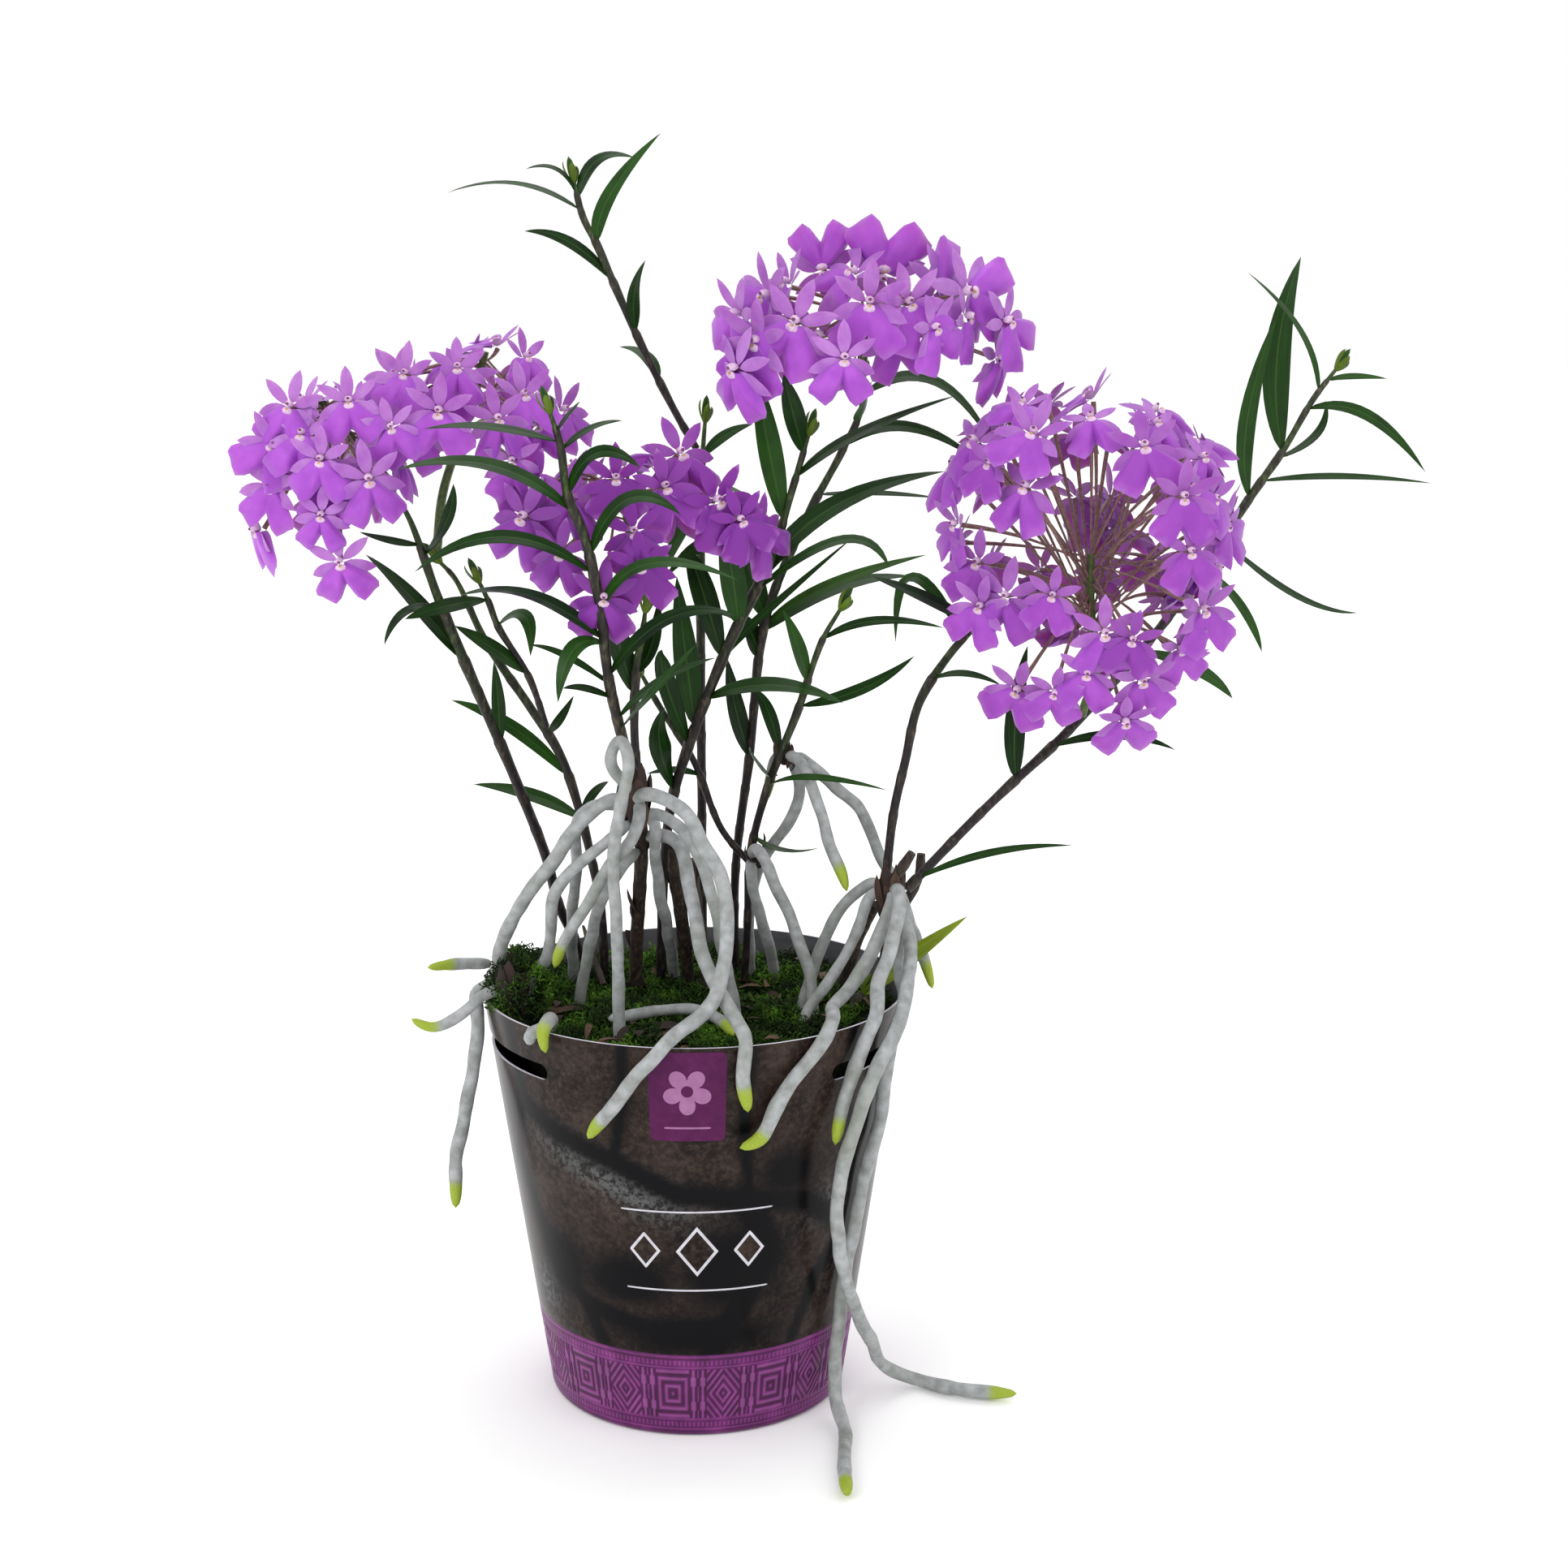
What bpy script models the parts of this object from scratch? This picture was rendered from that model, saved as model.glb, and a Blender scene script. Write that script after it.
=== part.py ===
"""A reed-stem orchid in bark and moss, in a thin grow pot that stands in a tapered printed cover pot.

Frame: +Z up, the origin at the middle of the cover pot's flat base, the front of the plant towards -Y.
Lengths are written in millimetres and turned to metres where the meshes are made.
"""

import math

import bmesh
import bpy
import numpy as np
from mathutils import Matrix, Vector

MM = 0.001

# Driving sizes, in millimetres.
RIM_RADIUS = 75.0
BASE_RADIUS = 53.0
POT_HEIGHT = 148.6
POT_WALL = 0.9
BASE_CORNER = 2.5
GAP = 0.3

SLOT_DROP = 15.4
SLOT_HEIGHT = 5.8
SLOT_LENGTH = 66.0
SLOT_AZIMUTH = 67.3
PRINT_AZIMUTH = -2.1
FINGER_ROOM = 13.0

GROW_POT_CLEARANCE = 7.0
GROW_POT_WALL = 1.1
GROW_POT_LIP = 2.5
GROW_POT_DROP = 36.0
DRAIN_HOLES = 6
DRAIN_HOLE_RADIUS = 4.0

MOSS_DROP = 8.6
MOSS_CROWN = 2.0
MOSS_EDGE_FALL = 3.0
MOSS_CLEARANCE = 1.5
RIM_CLEARANCE = 1.0
SOCKET_SLACK = 1.12

CANE_RADIUS = 1.6
TIP_RADIUS = 0.7
ROOT_RADIUS = 2.55
INNER_ROOT_RADIUS = 2.15
ROOT_TIP_RADIUS = 0.8
LEAF_THICKNESS = 0.7
PETAL_SHELL = 5.0
RACHIS_RADIUS = 1.4

CANE_STEP = 13.0
ROOT_STEP = 9.0
TUBE_BEVEL_RESOLUTION = 1
TURNED_STEPS = 48
LEAF_SEGMENTS = 4

MOSS_LEVEL = POT_HEIGHT - MOSS_DROP
SLOT_LEVEL = POT_HEIGHT - SLOT_DROP
GROW_RIM_LEVEL = POT_HEIGHT - GROW_POT_DROP

# The plant was drawn for these two radii. Its plan follows the rim, and its canes their radius.
DRAWN_RIM_RADIUS = 75.0
DRAWN_CANE_RADIUS = 1.6
PLAN = RIM_RADIUS / DRAWN_RIM_RADIUS

# Shoots: a cane's route from its foot to its tip, as (x, y, height above the moss), and its leaves.
# A leaf is (share of the way up the cane, middle and tip as offsets from its foot, width).
SHOOTS = {
    "shoot_left_front": dict(
        radius=1.9,
        route=[(-41, 46, -8), (-44, 44, 11), (-50, 40, 27), (-54, 36, 46), (-64, 28, 77),
               (-73, 20, 103), (-81, 12, 126), (-88, 6, 147), (-96, 0, 174), (-101, -2, 184)],
        leaves=[(0.68, (-17, -4, 22), (-32, -10, 39), 8.5), (0.51, (0, -5, 16), (-1, -8, 31), 5),
                (0.78, (-12, -6, 0), (-19, -14, -10), 5.5), (0.90, (-10, -5, 2), (-19, -12, 6), 4),
                (0.88, (9, -8, 12), (12, -12, 26), 6)],
    ),
    "shoot_left_back": dict(
        radius=1.6,
        route=[(-33, 26, -8), (-34, 26, 29), (-42, 26, 69), (-48, 26, 87), (-58, 25, 104),
               (-73, 23, 128), (-83, 20, 151), (-88, 19, 157)],
        leaves=[(0.49, (-21, 8, 17), (-43, 14, 26), 5.5), (0.40, (-19, 9, 7), (-40, 15, 10), 6),
                (0.41, (5, 5, 7), (10, 10, 10), 3.5), (0.59, (4, 6, 4), (9, 10, 12), 3.5)],
    ),
    "shoot_left_side": dict(
        radius=1.1,
        route=[(-52, 20, 98), (-58, 17, 117), (-68, 14, 135), (-71, 13, 144), (-74, 12, 151)],
        leaves=[(0.36, (-12, -6, 10), (-24, -12, 19), 7), (0.71, (10, -8, 4), (12, -12, -9), 6),
                (0.88, (-14, -12, -1), (-27, -18, -4), 6.5)],
    ),
    "plantlet_shoot_leafy": dict(
        radius=1.6,
        route=[(-20, -33, 92), (-24, -35, 106), (-28, -38, 126), (-30, -41, 148), (-35, -45, 174),
               (-40, -47, 187), (-42, -49, 204), (-45, -50, 214)],
        leaves=[(0.95, (4, -3, 5), (8, -6, 10), 4), (0.90, (10, -3, 7), (20, -8, 10), 4.5),
                (0.92, (-23, -3, 5), (-43, -8, 5), 5), (0.78, (10, -6, 14), (24, -12, 10), 6.5),
                (0.73, (-26, -8, 16), (-55, -16, 16), 7.5), (0.61, (13, -7, 19), (30, -14, 15), 7),
                (0.56, (-29, -6, 13), (-57, -14, 3), 6), (0.46, (16, -6, 16), (45, -14, 12), 6),
                (0.38, (-24, -4, 15), (-46, -12, 17), 9), (0.37, (-10, -8, -1), (-15, -14, -17), 7),
                (0.28, (20, -8, 20), (42, -18, 23), 7.5), (0.26, (-15, 4, 9), (-27, 8, 12), 3),
                (0.22, (-9, -5, 4), (-16, -9, 5), 4), (0.16, (15, -7, 14), (33, -14, 23), 5),
                (0.13, (12, -16, 16), (26, -24, 33), 4.5)],
    ),
    "plantlet_shoot_dark": dict(
        radius=1.5,
        route=[(-19, -22, 87), (-20, -20, 106), (-19, -17, 126), (-17, -15, 136), (-16, -13, 144)],
        leaves=[(0.51, (-6, 5, 19), (-9, 8, 39), 8.5), (0.63, (6, 4, 10), (8, 9, 25), 6)],
    ),
    "shoot_upright": dict(
        radius=1.7,
        route=[(3, 46, -8), (3, 42, 54), (3, 36, 128), (4, 30, 191), (5, 29, 205)],
        leaves=[(0.94, (8, 5, 7), (18, 8, 11), 4.5), (0.87, (-8, -5, -13), (-15, -10, -28), 6.5),
                (0.90, (11, 8, -4), (21, 16, -10), 4)],
    ),
    "shoot_top": dict(
        radius=1.3,
        route=[(2, 32, 195), (-5, 34, 207), (-18, 35, 233), (-26, 37, 251), (-32, 38, 265),
               (-37, 39, 275), (-40, 40, 287)],
        leaves=[(0.90, (-23, 4, 9), (-47, 8, 6), 4), (0.96, (-7, -4, 8), (-17, -8, 8), 3),
                (0.94, (7, 4, 13), (20, 8, 14), 5), (0.78, (6, -3, 17), (23, -8, 37), 6.5),
                (0.64, (-15, 3, 13), (-31, 8, 17), 4.5), (0.45, (0, -5, 13), (4, -10, 25), 5),
                (0.27, (-5, 5, 8), (-14, 10, 11), 5.5)],
    ),
    "shoot_centre_front": dict(
        radius=1.8,
        route=[(-13, 20, -8), (-10, 12, 57), (-7, 8, 76), (1, 5, 101), (13, 2, 131), (27, 0, 160),
               (35, -2, 186), (40, -3, 203)],
        leaves=[(0.47, (-8, -7, 23), (-9, -12, 36), 8.5), (0.50, (-3, 3, 25), (-6, 4, 53), 9),
                (0.39, (-5, -9, 17), (-3, -16, 33), 8.5), (0.62, (-7, 5, 24), (-12, 8, 38), 9),
                (0.68, (-2, -7, 19), (-6, -12, 37), 9), (0.86, (-6, -6, 28), (-10, -12, 52), 10),
                (0.97, (-4, -5, 14), (-7, -9, 27), 8.5), (0.93, (21, -8, 15), (53, -18, 29), 7),
                (0.74, (29, -14, 19), (44, -30, 12), 6), (0.62, (12, 8, 12), (47, 16, 41), 3.5),
                (0.55, (23, -9, 6), (47, -20, 2), 8.5), (0.76, (25, 6, 24), (65, 14, 36), 9),
                (0.80, (-20, -8, 6), (-36, -14, -5), 6.5)],
    ),
    "shoot_centre_back": dict(
        radius=1.6,
        route=[(15, 32, -8), (15, 24, 44), (20, 20, 86), (26, 18, 137), (41, 16, 174),
               (52, 14, 195), (59, 12, 211), (59, 10, 222)],
        leaves=[(0.60, (24, -6, 15), (56, -16, 27), 6.5), (0.59, (25, 6, 14), (54, 12, 18), 8),
                (0.89, (22, 6, 6), (49, 12, -7), 5.5), (0.97, (25, 10, 4), (48, 20, -20), 6),
                (0.93, (2, -8, 6), (4, -16, 15), 6), (0.81, (23, 12, -1), (45, 24, -4), 3),
                (0.40, (-5, -4, 17), (-8, -6, 37), 8), (0.55, (-5, -2, 12), (-15, -5, 17), 9),
                (0.61, (-5, 6, 14), (-9, 10, 31), 8.5)],
    ),
    "shoot_centre_side": dict(
        radius=1.4,
        route=[(20, 12, 52), (27, 6, 81), (36, 2, 105), (45, -1, 132), (51, -3, 143)],
        leaves=[(0.87, (18, -5, 7), (41, -14, 6), 4.5), (0.62, (22, -6, 7), (39, -14, 20), 5.5),
                (0.71, (-4, -6, 13), (-9, -12, 27), 7), (0.29, (15, -20, 7), (40, -32, 5), 3.5),
                (0.09, (10, -14, -2), (22, -30, 3), 3.5), (0.33, (-5, -7, 6), (-8, -14, 14), 8.5),
                (0.43, (-4, 5, 14), (-9, 8, 22), 5)],
    ),
    "shoot_crossing": dict(
        radius=1.2,
        route=[(10, 15, 61), (0, 17, 86), (-12, 16, 106), (-18, 12, 118)],
        leaves=[(0.34, (-9, -1, 2), (-19, -2, 1), 3.5)],
    ),
    "shoot_right_up": dict(
        radius=1.6,
        route=[(67, -8, 47), (70, -5, 72), (74, -2, 89), (79, 2, 109), (90, 8, 125), (98, 12, 133),
               (104, 17, 137)],
        leaves=[(0.70, (11, -8, 3), (23, -14, 0), 4), (0.94, (-19, -10, 11), (-39, -22, 21), 7.5),
                (0.88, (-18, 8, 20), (-23, 14, -4), 5)],
    ),
    "shoot_small_right": dict(
        radius=1.0,
        route=[(50, -14, -8), (54, -14, 1), (59, -13, 8)],
        leaves=[(0.97, (15, -1, 12), (37, 1, 28), 8)],
    ),
    "shoot_right_out": dict(
        radius=1.7,
        route=[(74, -14, 46), (96, -4, 66), (110, 2, 78), (125, 8, 90), (135, 14, 98), (174, 44, 133),
               (205, 55, 176), (216, 56, 192), (226, 56, 210), (234, 56, 221)],
        leaves=[(0.22, (0, 4, 21), (4, 6, 47), 7.5), (0.29, (22, -6, 5), (42, -12, 1), 4.5),
                (0.02, (25, -8, 11), (52, -18, 16), 3.5), (0.50, (22, 6, -8), (36, 8, -19), 6.5),
                (0.66, (16, 7, -16), (25, 10, -33), 5), (0.71, (29, 6, -22), (54, 10, -29), 4.5),
                (0.78, (-3, -4, 28), (6, -8, 67), 7), (0.86, (-2, 5, 34), (6, 8, 70), 10),
                (0.96, (-9, -5, 22), (-30, -10, 43), 3.5), (0.98, (11, 4, 1), (24, 8, 0), 3),
                (0.93, (21, -5, -2), (42, -10, -22), 5), (0.81, (31, 5, 1), (66, 10, -2), 3.5),
                (0.85, (16, 8, 8), (20, 14, 20), 3.5)],
    ),
}

# Leafless old canes and cut stubs: a route and a radius.
OLD_CANES = {
    "base_cane_right": ([(51, 12, -8), (58, 4, 23), (64, -4, 38)], 2.2),
    "old_cane_left": ([(-21, 18, -8), (-21, 6, 16), (-19, -10, 47), (-18, -17, 66), (-19, -28, 80),
                       (-20, -32.5, 86), (-20, -33, 90.8)], 2.4),
    "old_cane_middle": ([(-2, 22, -8), (-3, 10, 15), (-7, -14, 57), (-7, -16, 61)], 2.4),
    "old_cane_front": ([(6, 6, -8), (3, 0, 18), (1, -5, 37), (-1, -9, 56)], 2.0),
    "cut_stub_short": ([(69, -19, 51), (71, -20, 54), (75, -22, 61)], 1.8),
    "cut_stub_long": ([(66, 12, -8), (70, 10, 23), (80, 9, 44), (81, 9, 53)], 1.8),
}

# Aerial roots. inside: (x, y, height above the moss). rim: the azimuths just inside and outside the
# rim where a root crosses it, from the front, positive towards +X. outside: (azimuth, gap to the wall, share of the pot's height).
# floor: (x, y) of points where the root lies on the surface that the pot stands on.
ROOTS = {
    "root_looped": dict(
        inside=[(-24, -41, 91), (-28, -43, 98), (-24, -46, 107), (-21, -47, 100), (-25, -47, 81),
                (-27, -46, 63), (-26, -44, 48), (-26, -42, 30), (-26, -40, 16), (-26, -38, -8)]),
    "root_over_left_rim": dict(
        inside=[(-26, -34, 84), (-38, -33, 76), (-46, -30, 64), (-55, -26, 52), (-62, -21, 39),
                (-68, -16, 25)],
        rim=(-79, -79),
        outside=[(-79, 1, 0.95), (-79, 5, 0.84), (-79, 11, 0.73), (-79, 17, 0.62), (-79, 21, 0.48)]),
    "root_left_inner": dict(
        inside=[(-24, -26, 80), (-33, -24, 80), (-40, -20, 73), (-41, -12, 57), (-43, 2, 35),
                (-44, 16, 17), (-45, 30, -8)]),
    "root_left_outer": dict(
        inside=[(-28, -36, 70), (-38, -35, 62), (-47, -32, 52), (-49, -26, 38), (-51, -20, 24),
                (-57, -14, 15), (-60, -10, 5), (-60, -9, -8)]),
    "root_left_hanging": dict(
        inside=[(-18, -41, 80), (-22, -41, 69), (-29, -40, 62), (-34, -38, 51), (-40, -36, 41),
                (-45, -34, 33), (-48, -32, 24)]),
    "root_left_thin": dict(
        inside=[(-32, -30, 47), (-35, -24, 35), (-39, -14, 16), (-43, -4, -8)]),
    "root_over_front_rim": dict(
        inside=[(-16, -41, 87), (-9, -44, 86), (-1, -47, 80), (3, -50, 71), (9, -52, 61),
                (11, -54, 50), (10, -57, 37), (9, -60, 29), (5, -66, 20)],
        rim=(-4, -7),
        outside=[(-11, 1, 0.97), (-16, 1.5, 0.92), (-22, 2, 0.85), (-29, 2, 0.77)]),
    "root_front_inner": dict(
        inside=[(-14, -31, 78), (-7, -34, 76), (0, -38, 68), (6, -40, 51), (10, -36, 28),
                (13, -30, 13), (14, -26, -8)]),
    "root_over_front_middle": dict(
        inside=[(-6, -22, 66), (-3, -26, 58), (-1, -34, 48), (2, -46, 34), (5, -51, 27),
                (11, -62, 20)],
        rim=(12, 12),
        outside=[(12, 1, 0.96), (12, 1.5, 0.91), (13, 2, 0.85)]),
    "root_centre_back": dict(
        inside=[(-14, -26, 75), (-13, -21, 58), (-11, -8, 39), (-9, 10, 20), (-6, 30, -8)]),
    "root_on_moss": dict(
        inside=[(-30, -30, 5), (-21, -29, 6), (-13, -25, 6), (1, -24, 6), (9, -37, 6), (13, -50, 5)]),
    "root_tip_left": dict(inside=[(-47, -44, 4), (-49, -50, 9)], rim=(-42, -41), outside=[(-40, 1, 0.96)]),
    "root_side_upper": dict(
        inside=[(-72, 5, 15), (-83, 1, 16), (-94, -6, 17)]),
    "root_side_lower": dict(
        inside=[(-66, -22, 14), (-74, -28, 13), (-82, -33, 7), (-91, -35, 4), (-97, -34, 7)]),
    "root_right_short": dict(
        inside=[(30, 20, 88), (28, 21, 80), (26, 21, 70)]),
    "root_right_thick": dict(
        inside=[(31, 9, 92), (34, 10, 89), (37, 9, 82), (37, 9, 72), (33, 11, 63), (28, 15, 55), (23, 16, 46),
                (20, 17, 32), (20, 22, 14), (20, 34, -8)]),
    "root_right_middle": dict(
        inside=[(37, -3, 90), (40, -7, 84), (44, -9, 73), (48, -11, 60), (51, -13, 53), (53, -16, 46)]),
    "root_right_arching": dict(
        inside=[(36, 4, 91), (43, 0, 86), (51, 1, 78), (59, 3, 71), (63, 4, 62), (66, 5, 53), (71, 4, 45),
                (76, 2, 31), (81, -4, 19), (84, -8, 8)]),
    "root_middle_back": dict(
        inside=[(24, -11, 57), (28, -12, 48), (34, -14, 35), (38, -16, 22), (41, -19, 9), (41, -23, -8)]),
    "root_middle_thin": dict(
        inside=[(20, 6, 47), (23, 8, 32), (27, 14, 18), (31, 33, -8)]),
    "root_fan_left": dict(
        inside=[(62, -8, 47), (52, -8, 38), (46, -7, 27), (43, -7, 18), (39, -9, 9), (34, -15, -8)]),
    "root_fan_second": dict(
        inside=[(62, -16, 46), (57, -18, 34), (52, -20, 23), (45, -24, 14), (38, -29, 5), (36, -31, -8)]),
    "root_fan_over_front": dict(
        inside=[(69, -22, 47), (63, -27, 31), (54, -34, 18), (46, -47, 13)],
        rim=(41, 35),
        outside=[(30, 1, 0.96), (24, 1.5, 0.91), (20, 2, 0.84), (16, 2.5, 0.78), (11, 3, 0.765)]),
    "root_fan_over_right": dict(
        inside=[(70, -30, 45), (67, -35, 30), (62, -41, 20)],
        outside=[(51, 1, 1.02), (46, 1, 0.95), (43, 2, 0.89), (41, 2, 0.82), (39, 3, 0.73)]),
    "root_long_front": dict(
        inside=[(72, -14, 38), (72, -19, 27), (71, -26, 18)],
        outside=[(65, 2, 1.02), (60, 1, 0.93), (61, 1, 0.83), (62, 1, 0.73), (58, 1, 0.65), (56, 1, 0.57),
                 (55, 1, 0.47), (53, 1, 0.38), (52, 2, 0.26), (51, 4, 0.14),
                 (50, 6, 0.06)],
        floor=[(51, -58), (50, -70), (49, -86), (49, -103)]),
    "root_long_right": dict(
        outside=[(48, 8, 0.93), (44, 8, 0.86), (42, 8, 0.79), (39, 8, 0.68), (39, 8, 0.54),
                 (42, 9, 0.44), (48, 10, 0.32), (57, 12, 0.20), (68, 14, 0.09)],
        floor=[(79, -17), (90, -24), (101, -28), (114, -30)]),
}

# Flower heads: a shell of petals over a rachis. domes: (centre, radii, the way the shell is open,
# how far the opening plane lies from the centre); stalks: routes from below into the rachis.
HEADS = {
    "flower_head_left": dict(
        domes=[((-124, -6, 184), (31, 32, 40), (0.25, 0.0, -1.0), 8)],
        stalks=[[(-103, -2, 188), (-114, -4, 202), (-124, -6, 222)]],
    ),
    "flower_head_left_upper": dict(
        domes=[((-70, 13, 207), (27, 29, 32), (0.0, 0.0, -1.0), 4)],
        stalks=[[(-89, 19, 161), (-86, 17, 182), (-75, 14, 212), (-70, 13, 237)]],
    ),
    "flower_head_middle": dict(
        domes=[((-24, -9, 171), (29, 22, 29), (0.0, 0.0, -1.0), 2)],
        stalks=[[(-16, -13, 148), (-20, -11, 165), (-24, -9, 198)]],
    ),
    "flower_head_top": dict(
        domes=[((59, 2, 226), (56, 34, 46), (0.0, 0.0, -1.0), -4)],
        stalks=[[(59, 10, 226), (59, 6, 240), (59, 2, 270)]],
    ),
    "flower_head_right": dict(
        domes=[((140, -5, 168), (53, 52, 53), (-0.5, -0.6, -0.6), 22)],
        stalks=[[(137, 8, 103), (142, 2, 122), (140, -3, 145), (140, -5, 166), (141, -5, 218)]],
    ),
}

CLUMP = ((-62, 8, 9), (8, 9, 9))
TWIG = [(-33, 14, 4), (-37, 24, 12), (-41, 36, 20)]
TWIG_RADIUS = 1.1

LEAF_FACING = Vector((0.0, -0.6, 0.8))


# --- scene, collections and materials

for old in list(bpy.data.objects):
    bpy.data.objects.remove(old, do_unlink=True)

parts = bpy.data.collections.new("potted_orchid")
helpers = bpy.data.collections.new("helpers")
bpy.context.scene.collection.children.link(parts)
bpy.context.scene.collection.children.link(helpers)
helpers.hide_render = True


def finish(name, colour, roughness, metallic=0.0):
    """A Principled material with the finish's colour (linear), roughness and metallic value."""
    material = bpy.data.materials.new(name)
    material.use_nodes = True
    shader = material.node_tree.nodes["Principled BSDF"]
    shader.inputs["Base Color"].default_value = (*colour, 1.0)
    shader.inputs["Roughness"].default_value = roughness
    shader.inputs["Metallic"].default_value = metallic
    return material


printed_plastic = finish("printed_plastic", (0.05, 0.035, 0.03), 0.35)
black_plastic = finish("black_plastic", (0.02, 0.02, 0.02), 0.5)
bark = finish("bark", (0.12, 0.06, 0.03), 0.9)
moss = finish("moss", (0.06, 0.13, 0.01), 0.95)
cane_skin = finish("cane_skin", (0.045, 0.02, 0.022), 0.5)
green_leaf = finish("green_leaf", (0.02, 0.09, 0.02), 0.45)
root_skin = finish("root_skin", (0.45, 0.5, 0.45), 0.6)
petal = finish("petal", (0.5, 0.08, 0.75), 0.5)


# --- making objects

def add_object(name, mesh, material=None, smooth_angle=35.0):
    """Links a mesh object into the part's collection, or into the helpers when it has no material."""
    thing = bpy.data.objects.new(name, mesh)
    (parts if material else helpers).objects.link(thing)
    if material:
        mesh.materials.append(material)
        mesh.shade_smooth()
        mesh.set_sharp_from_angle(angle=math.radians(smooth_angle))
    else:
        thing.hide_render = True
        thing.display_type = "WIRE"
    return thing


def boolean(target, operation, tool):
    """An exact Boolean with one helper object, or with all those of a helper collection."""
    modifier = target.modifiers.new(operation.title(), "BOOLEAN")
    modifier.operation = operation
    modifier.solver = "EXACT"
    if isinstance(tool, bpy.types.Collection):
        modifier.operand_type = "COLLECTION"
        modifier.collection = tool
    else:
        modifier.object = tool


def helper_group(name):
    group = bpy.data.collections.new(name)
    helpers.children.link(group)
    group.hide_render = True
    return group


def move_to(thing, group):
    for holder in list(thing.users_collection):
        holder.objects.unlink(thing)
    group.objects.link(thing)


def smooth_route(points, step):
    """Points about `step` apart on a centripetal Catmull-Rom curve through the route's own points."""
    points = np.array(points, float)
    ends = np.vstack([2 * points[0] - points[1], points, 2 * points[-1] - points[-2]])
    out = [points[0]]
    for p0, p1, p2, p3 in zip(ends, ends[1:], ends[2:], ends[3:]):
        t1 = np.linalg.norm(p1 - p0) ** 0.5
        t2 = t1 + np.linalg.norm(p2 - p1) ** 0.5
        t3 = t2 + np.linalg.norm(p3 - p2) ** 0.5
        count = max(1, round(float(np.linalg.norm(p2 - p1)) / step))
        for t in np.linspace(t1, t2, count + 1)[1:]:
            a1 = p0 * (t1 - t) / t1 + p1 * t / t1
            a2 = p1 * (t2 - t) / (t2 - t1) + p2 * (t - t1) / (t2 - t1)
            a3 = p2 * (t3 - t) / (t3 - t2) + p3 * (t - t2) / (t3 - t2)
            b1 = a1 * (t2 - t) / t2 + a2 * t / t2
            b2 = a2 * (t3 - t) / (t3 - t1) + a3 * (t - t1) / (t3 - t1)
            out.append(b1 * (t2 - t) / (t2 - t1) + b2 * (t - t1) / (t2 - t1))
    return np.array(out)


def tube(name, points, radii, material=None):
    """A capped round tube along the points, made from a bevelled curve and kept as a mesh."""
    curve = bpy.data.curves.new(name, "CURVE")
    curve.dimensions = "3D"
    curve.bevel_depth = MM
    curve.bevel_resolution = TUBE_BEVEL_RESOLUTION
    curve.use_fill_caps = True
    spline = curve.splines.new("POLY")
    spline.points.add(len(points) - 1)
    for knot, point, radius in zip(spline.points, points, radii):
        knot.co = (*(point * MM), 1.0)
        knot.radius = radius
    guide = bpy.data.objects.new(name + "_guide", curve)
    helpers.objects.link(guide)
    bpy.context.view_layer.update()
    evaluated = guide.evaluated_get(bpy.context.evaluated_depsgraph_get())
    mesh = bpy.data.meshes.new_from_object(evaluated)
    bpy.data.objects.remove(guide)
    bpy.data.curves.remove(curve)
    shape = bmesh.new()
    shape.from_mesh(mesh)
    bmesh.ops.remove_doubles(shape, verts=shape.verts, dist=1e-6)
    bmesh.ops.recalc_face_normals(shape, faces=shape.faces)
    shape.to_mesh(mesh)
    shape.free()
    mesh.name = name
    return add_object(name, mesh, material)


def tapered(count, radius, tip, share=0.15):
    """The radius at each of `count` points: even, then falling to `tip` over the last share."""
    along = np.linspace(0.0, 1.0, count)
    return radius + (tip - radius) * np.clip((along - 1 + share) / share, 0, 1)


def turned(name, profile, material):
    """A solid of revolution about Z from a profile of (radius, z) that ends on the axis."""
    mesh = bpy.data.meshes.new(name)
    verts = [(r * MM, 0.0, z * MM) for r, z in profile]
    mesh.from_pydata(verts, [(i, i + 1) for i in range(len(verts) - 1)], [])
    thing = add_object(name, mesh, material)
    screw = thing.modifiers.new("Turn", "SCREW")
    screw.steps = screw.render_steps = TURNED_STEPS
    screw.use_merge_vertices = True
    screw.merge_threshold = 1e-5
    screw.use_smooth_shade = True
    return thing


# --- the pots

def outer_radius(z):
    return BASE_RADIUS + (RIM_RADIUS - BASE_RADIUS) * z / POT_HEIGHT


def inner_radius(z):
    return outer_radius(z) - POT_WALL


def side_box(name, side, near, far, length, low, high, round_ends):
    """A helper box across the wall at a handle slot's azimuth: radial span, length along, z span."""
    size = Vector(((far - near) * MM, length * MM, (high - low) * MM))
    shape = bmesh.new()
    bmesh.ops.create_cube(shape, size=1.0, matrix=Matrix.Diagonal((*size, 1.0)))
    if round_ends:
        long_edges = [e for e in shape.edges if abs((e.verts[0].co - e.verts[1].co).x) > size.x / 2]
        bmesh.ops.bevel(shape, geom=long_edges, offset=size.z * 0.49, segments=4, profile=0.5,
                        affect="EDGES")
    middle = Vector(((near + far) / 2 * MM, 0.0, (low + high) / 2 * MM))
    turn = Matrix.Rotation(math.radians(-90 + PRINT_AZIMUTH + side * SLOT_AZIMUTH), 4, "Z")
    bmesh.ops.transform(shape, matrix=turn @ Matrix.Translation(middle), verts=shape.verts)
    mesh = bpy.data.meshes.new(name)
    shape.to_mesh(mesh)
    shape.free()
    return add_object(name, mesh)


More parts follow.
